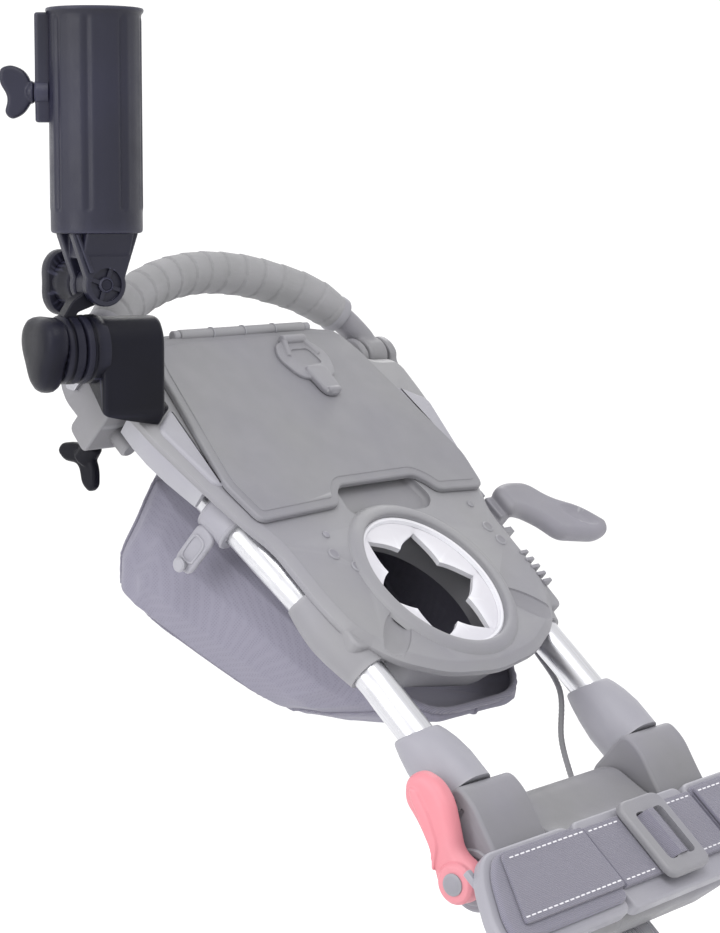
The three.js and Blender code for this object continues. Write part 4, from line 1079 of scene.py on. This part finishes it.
def net_bag():
    sides = 220
    levels = []
    steps = 9
    for k in range(len(BAG) - 1):
        for j in range(steps):
            t = j / steps
            levels.append([a + (b - a) * (t * t * (3 - 2 * t) * 0.5 + t * 0.5) for a,
                b in zip(BAG[k], BAG[k + 1])])
    levels.append(list(BAG[-1]))

    def point(level, share, angle, height):
        half, y0, y1, n0, n1, wide = level
        c, s = math.cos(angle), math.sin(angle)
        px, py = math.copysign(abs(c) ** 0.42, c), math.copysign(abs(s) ** 0.42, s)
        y = (y0 + y1) / 2 + py * (y1 - y0) / 2 * share
        k = (y - y0) / (y1 - y0)
        x = px * (half + wide * k) * share
        n = n0 + (n1 - n0) * k
        # Folds hang from the hooks and the rim, and fade towards the taut floor.
        loose = math.sin(math.pi * min(1, height * 1.05)) if height > 0 else 0
        fold = math.sin(7 * angle + 2.2 * math.sin(2 * angle)) * 1.5 + math.sin(17 * angle + 5 * height) * 0.7
        fold += 2.4 * noise.noise(Vector((x * 0.021, y * 0.021, n * 0.03)))
        swag = noise.noise(Vector((angle * 2.2, height * 5.0, 3.1))) * 2.2
        push = -(abs(fold) * 0.9 + 0.6) * loose + swag * loose * 0.6
        out = Vector((c, s * 0.8, 0)).normalized()
        return Vector((x, y, n)) + out * push

    rings = []
    for m in range(9, 0, -1):
        share = 1 - (m / 9.5) ** 1.6
        ring = [point(levels[0], share, math.tau * i / sides, 0) for i in range(sides)]
        for p in ring:
            r = Vector((p.x / 90, (p.y - 55) / 75)).length
            p.z += 1.6 * noise.noise(Vector((p.x * 0.03, p.y * 0.03, 0))) + 1.5 * min(1, r)
        rings.append(ring)
    last = len(levels) - 1
    for j, level in enumerate(levels):
        rings.append([point(level, 1, math.tau * i / sides, j / last) for i in range(sides)])
    bag = new_object("bag_net", *loft(rings, caps=False), "net")
    b = bmesh.new()
    b.from_mesh(bag.data)
    hole = [e for e in b.edges if e.is_boundary]
    low = min(hole, key=lambda e: (TILT.inverted() @ e.verts[0].co).z)
    start = {v for v in low.verts}
    grown = True
    loop = {low}
    while grown:
        grown = False
        for e in hole:
            if e not in loop and (e.verts[0] in start or e.verts[1] in start):
                loop.add(e)
                start.update(e.verts)
                grown = True
    bmesh.ops.contextual_create(b, geom=list(loop))
    bmesh.ops.recalc_face_normals(b, faces=b.faces)
    b.to_mesh(bag.data)
    b.free()
    modify(bag, "SOLIDIFY", thickness=1.1 * MM, offset=-1)
    finish_piece(soften(bag), "upper_frame", "net_bag")
    # Hem round the mouth and piped seams down the four corners and the middle of each side.
    rim = [point(levels[-1], 1, math.tau * i / 160, 1) for i in range(161)]
    hem = sweep(rim, lambda t, a, run: 2.3 + 0.25 * math.sin(run * 0.9), 20)
    seams = []
    for angle in (45, 135, 225, 315, 90, 270):
        line = [point(level, 1.003, math.radians(angle), j / last) for j, level in enumerate(levels)]
        seams.append(sweep(line, lambda t, a, run: 1.15 + 0.12 * math.sin(run * 1.6), 12))
    base = [point(levels[0], 1.0, math.tau * i / 160, 0) for i in range(161)]
    seams.append(sweep(base, lambda t, a, run: 1.2 + 0.12 * math.sin(run * 1.6), 12))
    finish_piece(gathered("bag_hem", "strap", [hem], angle=60), "upper_frame", None)
    finish_piece(gathered("bag_piping", "strap", seams, angle=60), "upper_frame", None)


tubes_and_boots()
bag_hooks()
net_bag()


# ---------- brake lever and cable ----------
LEVER_X, LEVER_N = 121.5, -16


def brake_lever():
    blade = [(127, 41), (127, 61), (141, 65), (162, 63), (174, 48), (199, 36), (214, 19), (209, 11), (194, 8),
             (158, 15), (150, 29), (138, 39)]
    parts = [slab(rounded(blade, 11, 8), -10.6, 1.6, 5.4, 5.4, 8),
             block(LEVER_X, 134, 42, 60, LEVER_N - 3, -7, 2, 1.5),
             rod((LEVER_X, 35.5, LEVER_N), (LEVER_X, 61.5, LEVER_N), 4.6, 40, 0.5)]
    dish = moved(turned([(0, 1.0), (6, 0.2), (13, 2.6), (0, 2.7)], 48),
                 Matrix.Translation((188, 27, -0.2)) @ Matrix.Rotation(-0.55, 4,
                 "Z") @ Matrix.Diagonal((1.6, 0.7, 1, 1)))
    hole = rod((LEVER_X, 20, LEVER_N), (LEVER_X, 75, LEVER_N), 2.9, 24)
    obj = molded("lever_body", "dark", parts, [hole, dish], voxel=0.7, rounds=5)
    finish_piece(obj, "brake_lever", "brake_lever")


def brake_cable():
    line = [(118, 28.4, -20), (115, 14, -29), (103, -10, -34), (93, -44, -34), (88, -78, -36),
        (73, -106, -49),
            (52, -139.2, -50)]
    path = catmull(line, 24)
    cable = new_object("cable_sheath", *sweep(path, lambda t, a, run: 1.85 + 0.1 * math.cos(run * 2.1), 20),
        "dark")
    soften(cable)
    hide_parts("brake_cable")
    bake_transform(cable)


brake_lever()
brake_cable()


# ---------- hinge, latch and saddle ----------
HINGE_Y, HINGE_N, PIN_R = -180, -32, 5


def hinge_parts():
    cheek = [(-136.5, -40), (-136.5, -2), (-152, -1), (-174, -8), (-190, -12), (-200, -22), (-201, -38),
        (-192, -50),
             (-178, -53), (-160, -48)]
    for side, name in ((1, "right"), (-1, "left")):
        boss = moved(turned([(0, 0), (16.5, 0), (16.5, 0.9), (15.5, 1.9), (12.5, 1.9), (11.9, 1.2),
            (0, 1.2)], 72),
                     aim((111.2, HINGE_Y, HINGE_N), (1, 0, 0)))
        groove = [prism([(-141 - 7 * k, -9), (-144 - 7 * k, -9), (-148 - 7 * k, -38), (-145 - 7 * k, -38)],
            110.8, 114,
                        "yz", 0.3, 1) for k in range(2)]
        hole = rod((50, HINGE_Y, HINGE_N), (120, HINGE_Y, HINGE_N), PIN_R + 0.3, 48)
        obj = built("cheek_body_" + name, "dark",
                    [one_side(side, prism(cheek, 60.5, 112, "yz", 2.6, 8)), one_side(side, boss)],
                    [one_side(side, g) for g in groove + [hole]], angle=30)
        finish_piece(obj, "upper_frame", "cheek_" + name)
    sides = [(-140, -56), (-141, -28), (-149, -19), (-176, -13), (-186, -5), (-240, -5), (-246, -12),
        (-240, -42.5),
             (-150, -62)]
    takes = [rod((-80, HINGE_Y, HINGE_N), (80, HINGE_Y, HINGE_N), PIN_R + 0.3, 48),
             cuboid(-19.35, 19.35, -300, -196, -81.35, -42.65, 0),
             rod((52, -150, -50), (52, -130, -50), 2.6, 24)]
    obj = built("hinge_block_body", "dark", [prism(sides, -57, 57, "yz", 2.4, 8)], takes, angle=30)
    finish_piece(obj, "lower_frame", "hinge_block")


def latch():
    side = [(-171, -45), (-157, -36), (-139, -30), (-124, -28), (-116, -18), (-119, -7), (-131, -2),
        (-144, -4),
            (-158, -13), (-168, -20), (-182, -17), (-193, -26), (-192, -38), (-182, -46)]
    ridge = [(-167, -41), (-156, -31), (-140, -25), (-128, -22), (-122, -17), (-126, -14), (-142, -18),
        (-158, -26)]
    parts = [prism(side, -127.6, -114.4, "yz", 5.6, 10), rod((-131, HINGE_Y, HINGE_N), (-114.2, HINGE_Y,
        HINGE_N), 12, 64, 2),
             prism(ridge, -129.4, -124, "yz", 1.8, 5)]
    bore = rod((-120, HINGE_Y, HINGE_N), (-113, HINGE_Y, HINGE_N), PIN_R + 0.3, 40)
    obj = molded("latch_body", "coral", parts, [bore], voxel=0.6, rounds=4)
    finish_piece(obj, "latch", "latch_lever")
    cap = moved(turned([(0, 0), (6.4, 0), (6.4, 0.9), (4.6, 1.9), (0, 2.1)], 48),
        aim((-130.9, HINGE_Y, HINGE_N), (-1, 0, 0)))
    finish_piece(gathered("latch_cap", "dark", [cap]), "latch", None)


def saddle():
    stitches = []
    for side, name in ((1, "right"), (-1, "left")):
        x0, x1 = 60.5, 176
        base = [(x0, -184), (x0, -246), (x1, -246), (x1 - 3, -224), (x1 - 19, -197), (x1 - 34, -184)]
        parts = [slab(rounded(base, 9), -4, 4.8, 2.4, 2.4), cuboid(61.5, 104, -199, -191.5, -11.4, -3, 0.6)]
        rib = [block(x, x + 4, -243, -187, -7, -3, 1, 0.6) for x in (116, 132, 148)]
        obj = built("wing_body_" + name, "facet", [one_side(side, p) for p in parts + rib], angle=35)
        finish_piece(obj, "upper_frame", "saddle_wing_" + name)
        pad = rounded([(x0, -188), (x0, -240), (169, -240), (167, -226), (152, -200), (138, -188)], 8)
        cushion = new_object("pad_" + name, *one_side(side, slab(pad, 5.1, 9.0, 2.6, 0.6, 8)), "padding")
        soften(cushion)
        finish_piece(smooth(cushion, 50), "upper_frame", "saddle_pad_" + name)
        strap = rounded([(x0, -191), (x0, -233), (157, -233), (137, -191)], 3)
        obj = new_object("strap_body_" + name, *one_side(side, slab(strap, 9.1, 11.3, 0.8, 0.6)), "strap")
        finish_piece(smooth(obj, 50), "upper_frame", "strap_" + name)
        for y, end in ((-194.5, 134), (-229.5, 152)):
            k = 62.5
            while k < end:
                stitches.append((side, block(k, k + 3.4, y - 0.45, y + 0.45, 11.0, 11.75, 0.4, 0.25)))
                k += 5.2
    finish_piece(gathered("strap_stitching", "thread", [one_side(s, p) for s, p in stitches]), "upper_frame",
        None)
    centre = rounded([(-57, -184), (-57, -246), (57, -246), (57, -184)], 6)
    obj = built("saddle_centre_body", "facet", [slab(centre, -4, 4.9, 2.0, 1.2)], angle=35)
    finish_piece(obj, "lower_frame", "saddle_centre")
    web = rounded([(-57, -233), (57, -233), (57, -191), (-57, -191)], 2)
    obj = new_object("strap_middle", *slab(web, 5.2, 9.1, 1.0, 0.5), "strap")
    finish_piece(smooth(obj, 50), "lower_frame", "strap_centre")
    rows = [block(x, x + 3.4, y - 0.45, y + 0.45, 8.7, 9.35, 0.4, 0.25)
            for y in (-194.5, -229.5) for x in [v * 5.2 - 54 for v in range(21)] if not -25 < x < 23]
    finish_piece(gathered("strap_stitching_middle", "thread", rows), "lower_frame", None)
    frame_outline = rounded([(-22, -186), (-22, -240), (22, -240), (22, -186)], 9)
    slots = [slab(rounded([(a, -230), (b, -230), (b, -196), (a, -196)], 4), 8, 20, 0.2, 0.2) for a,
        b in ((-14, -4), (4, 14))]
    obj = molded("buckle_body", "shell", [slab(frame_outline, 9.5, 14.8, 2.2, 1)], slots, voxel=0.5, rounds=2)
    finish_piece(obj, "lower_frame", "strap_buckle")
    # The strap's loose end passes over the buckle's middle bar.
    tail = [(-16, 8.8), (-10, 10.5), (-3, 15.6), (3, 15.6), (10, 10.5), (16, 8.8)]
    top = [(x, n + 1.0) for x, n in tail]
    loop = [Vector(p) for p in tail] + [Vector(p) for p in reversed(top)]
    verts = [(p.x, y, p.y) for y in (-229, -197) for p in loop]
    n = len(loop)
    faces = [tuple(range(n)), tuple(range(n, 2 * n))[::-1]]
    faces += [(i, (i + 1) % n, n + (i + 1) % n, n + i) for i in range(n)]
    finish_piece(gathered("strap_through_buckle", "strap", [(verts, faces)], angle=30), "lower_frame", None)


hinge_parts()
latch()
saddle()


# ---------- wheels ----------
WHEEL_R, WHEEL_W, WHEEL_SIDES = 145, 46, 32
TREAD_BAND, TREAD_DEPTH = 3, 1.9
LEVEL_X = AXES["yz"]


def wheel(tyre_node, rim_node, body, name, cap_side):
    low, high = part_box(tyre_node)
    centre = FLAT.inverted() @ ((low + high) / 2)
    at = Matrix.Translation(centre) @ LEVEL_X
    half = WHEEL_W / 2
    flat = WHEEL_R * math.cos(math.pi / WHEEL_SIDES)
    profile = [(flat - 25, -half + 6), (flat - 20, -half + 1.5), (flat - 12, -half + 0.3),
        (flat - 6, -half + 3.5),
               (flat - 2.2, -half + 9), (flat - 0.3, -12), (flat, -8), (flat, 8), (flat - 0.3, 12),
               (flat - 2.2, half - 9), (flat - 6, half - 3.5), (flat - 12, half - 0.3),
               (flat - 20, half - 1.5),
               (flat - 25, half - 6)]
    sides = 288
    rings = []
    for r, z in profile:
        ring = []
        for i in range(sides):
            a = math.tau * i / sides
            rr = r
            if r > flat - TREAD_BAND:
                # Tread blocks: two steps in every eight are a groove, staggered across the middle.
                step = (i + (4 if z > 0 else 0)) % 8
                rr -= TREAD_DEPTH if step in (0, 1) else 0
            ring.append((rr * math.cos(a), rr * math.sin(a), z))
        rings.append(ring)
    tyre = new_object("tyre_" + name, *moved(loft(rings, caps=False, closed=True), at), "tyre", FLAT)
    finish_piece(smooth(tyre, 28), body, tyre_node)
    outer = (WHEEL_R - 26) * math.cos(math.pi / WHEEL_SIDES)
    hoop = turned([(outer - 13, -13.5), (outer - 4, -15.5), (outer - 1.5, -17.5), (outer, -17), (outer, 17),
                   (outer - 1.5, 17.5), (outer - 4, 15.5), (outer - 13, 13.5)], 160)
    hoop = loft([hoop[0][k * 160:(k + 1) * 160] for k in range(8)], caps=False, closed=True)
    hub = turned([(0, -20), (21.5, -20), (23, -18.5), (23, 18.5), (21.5, 20), (0, 20)], 72)
    parts = [hub]
    takes = [rod((0, 0, -40), (0, 0, 19.0 if cap_side > 0 else 40), 6.5, 40)] if cap_side >= 0 else [
        rod((0, 0, -19), (0, 0, 40), 6.5, 40)]
    for k in range(3):
        turn = Matrix.Rotation(math.tau * k / 3, 4, "Z")
        parts.append(moved(slab(rounded([(17, -13), (outer - 7, -21), (outer - 7, 21), (17, 13)], 6), -8.6,
            8.6, 2.4, 2.4), turn))
        for s in (-1, 1):
            takes.append(moved(slab(rounded([(34, -8), (outer - 24, -13), (outer - 24, 13), (34, 8)], 7),
                                    5 if s > 0 else -14, 14 if s > 0 else -5, 0.5, 0.5), turn))
    if cap_side:
        s = cap_side
        parts.append(turned([(0, s * 19), (16.5, s * 19), (16, s * 23), (13.4, s * 28.4), (11, s * 30),
            (0, s * 31)], 56))
    rim = new_object("rim_" + name, *moved(hoop, at), "shell", FLAT)
    fuse(rim, [moved(p, at) for p in parts], "UNION", FLAT)
    fuse(rim, [moved(p, at) for p in takes], "DIFFERENCE", FLAT)
    finish_piece(smooth(rim, 32), body, rim_node)


wheel("rear_tyre_left", "rear_rim_left", "wheel_left", "left", -1)
wheel("rear_tyre_right", "rear_rim_right", "wheel_right", "right", 1)
wheel("front_tyre", "front_rim", "wheel_front", "front", 0)


# ---------- everything that keeps its CAD shape ----------
def dress(node, mat, width=0.8, angle=32):
    """A CAD node in its own shape, with its rims rounded by modifiers."""
    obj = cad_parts[node]
    obj.data.materials.clear()
    obj.data.materials.append(MATS[mat])
    obj.data.polygons.foreach_set("use_smooth", [True] * len(obj.data.polygons))
    weld = obj.modifiers.new("weld", "WELD")
    weld.merge_threshold = 1e-5
    if width:
        bevel = obj.modifiers.new("rims", "BEVEL")
        bevel.width = width * MM
        bevel.segments = 3
        bevel.limit_method = "ANGLE"
        bevel.angle_limit = math.radians(angle)
        bevel.use_clamp_overlap = True
    weighted = obj.modifiers.new("weighted", "WEIGHTED_NORMAL")
    weighted.keep_sharp = True
    return obj


KEPT = {
    "handle_bolt_left": ("steel", 0.6), "handle_bolt_right": ("steel", 0.6),
    "brake_pivot_pin": ("steel", 0.5),
    "hinge_pin": ("steel", 0.8), "leg_pivot_pin": ("steel", 0.8), "front_axle": ("steel", 0.8),
    "main_tube": ("alu", 1.5), "leg_left": ("alu_level", 1.2), "leg_right": ("alu_level", 1.2),
    "leg_hub": ("dark", 1.6), "front_fork": ("dark", 1.6), "lower_cradle": ("dark", 1.4),
    "brake_block": ("dark", 1.4),
    "brake_bracket": ("dark", 0.6), "brake_pad": ("coral", 1.0), "lower_strap": ("strap", 0.5),
}
for node, (mat, width) in KEPT.items():
    dress(node, mat, width)
for name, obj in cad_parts.items():
    if not obj.hide_render and name not in KEPT:
        dress(name, "dark")
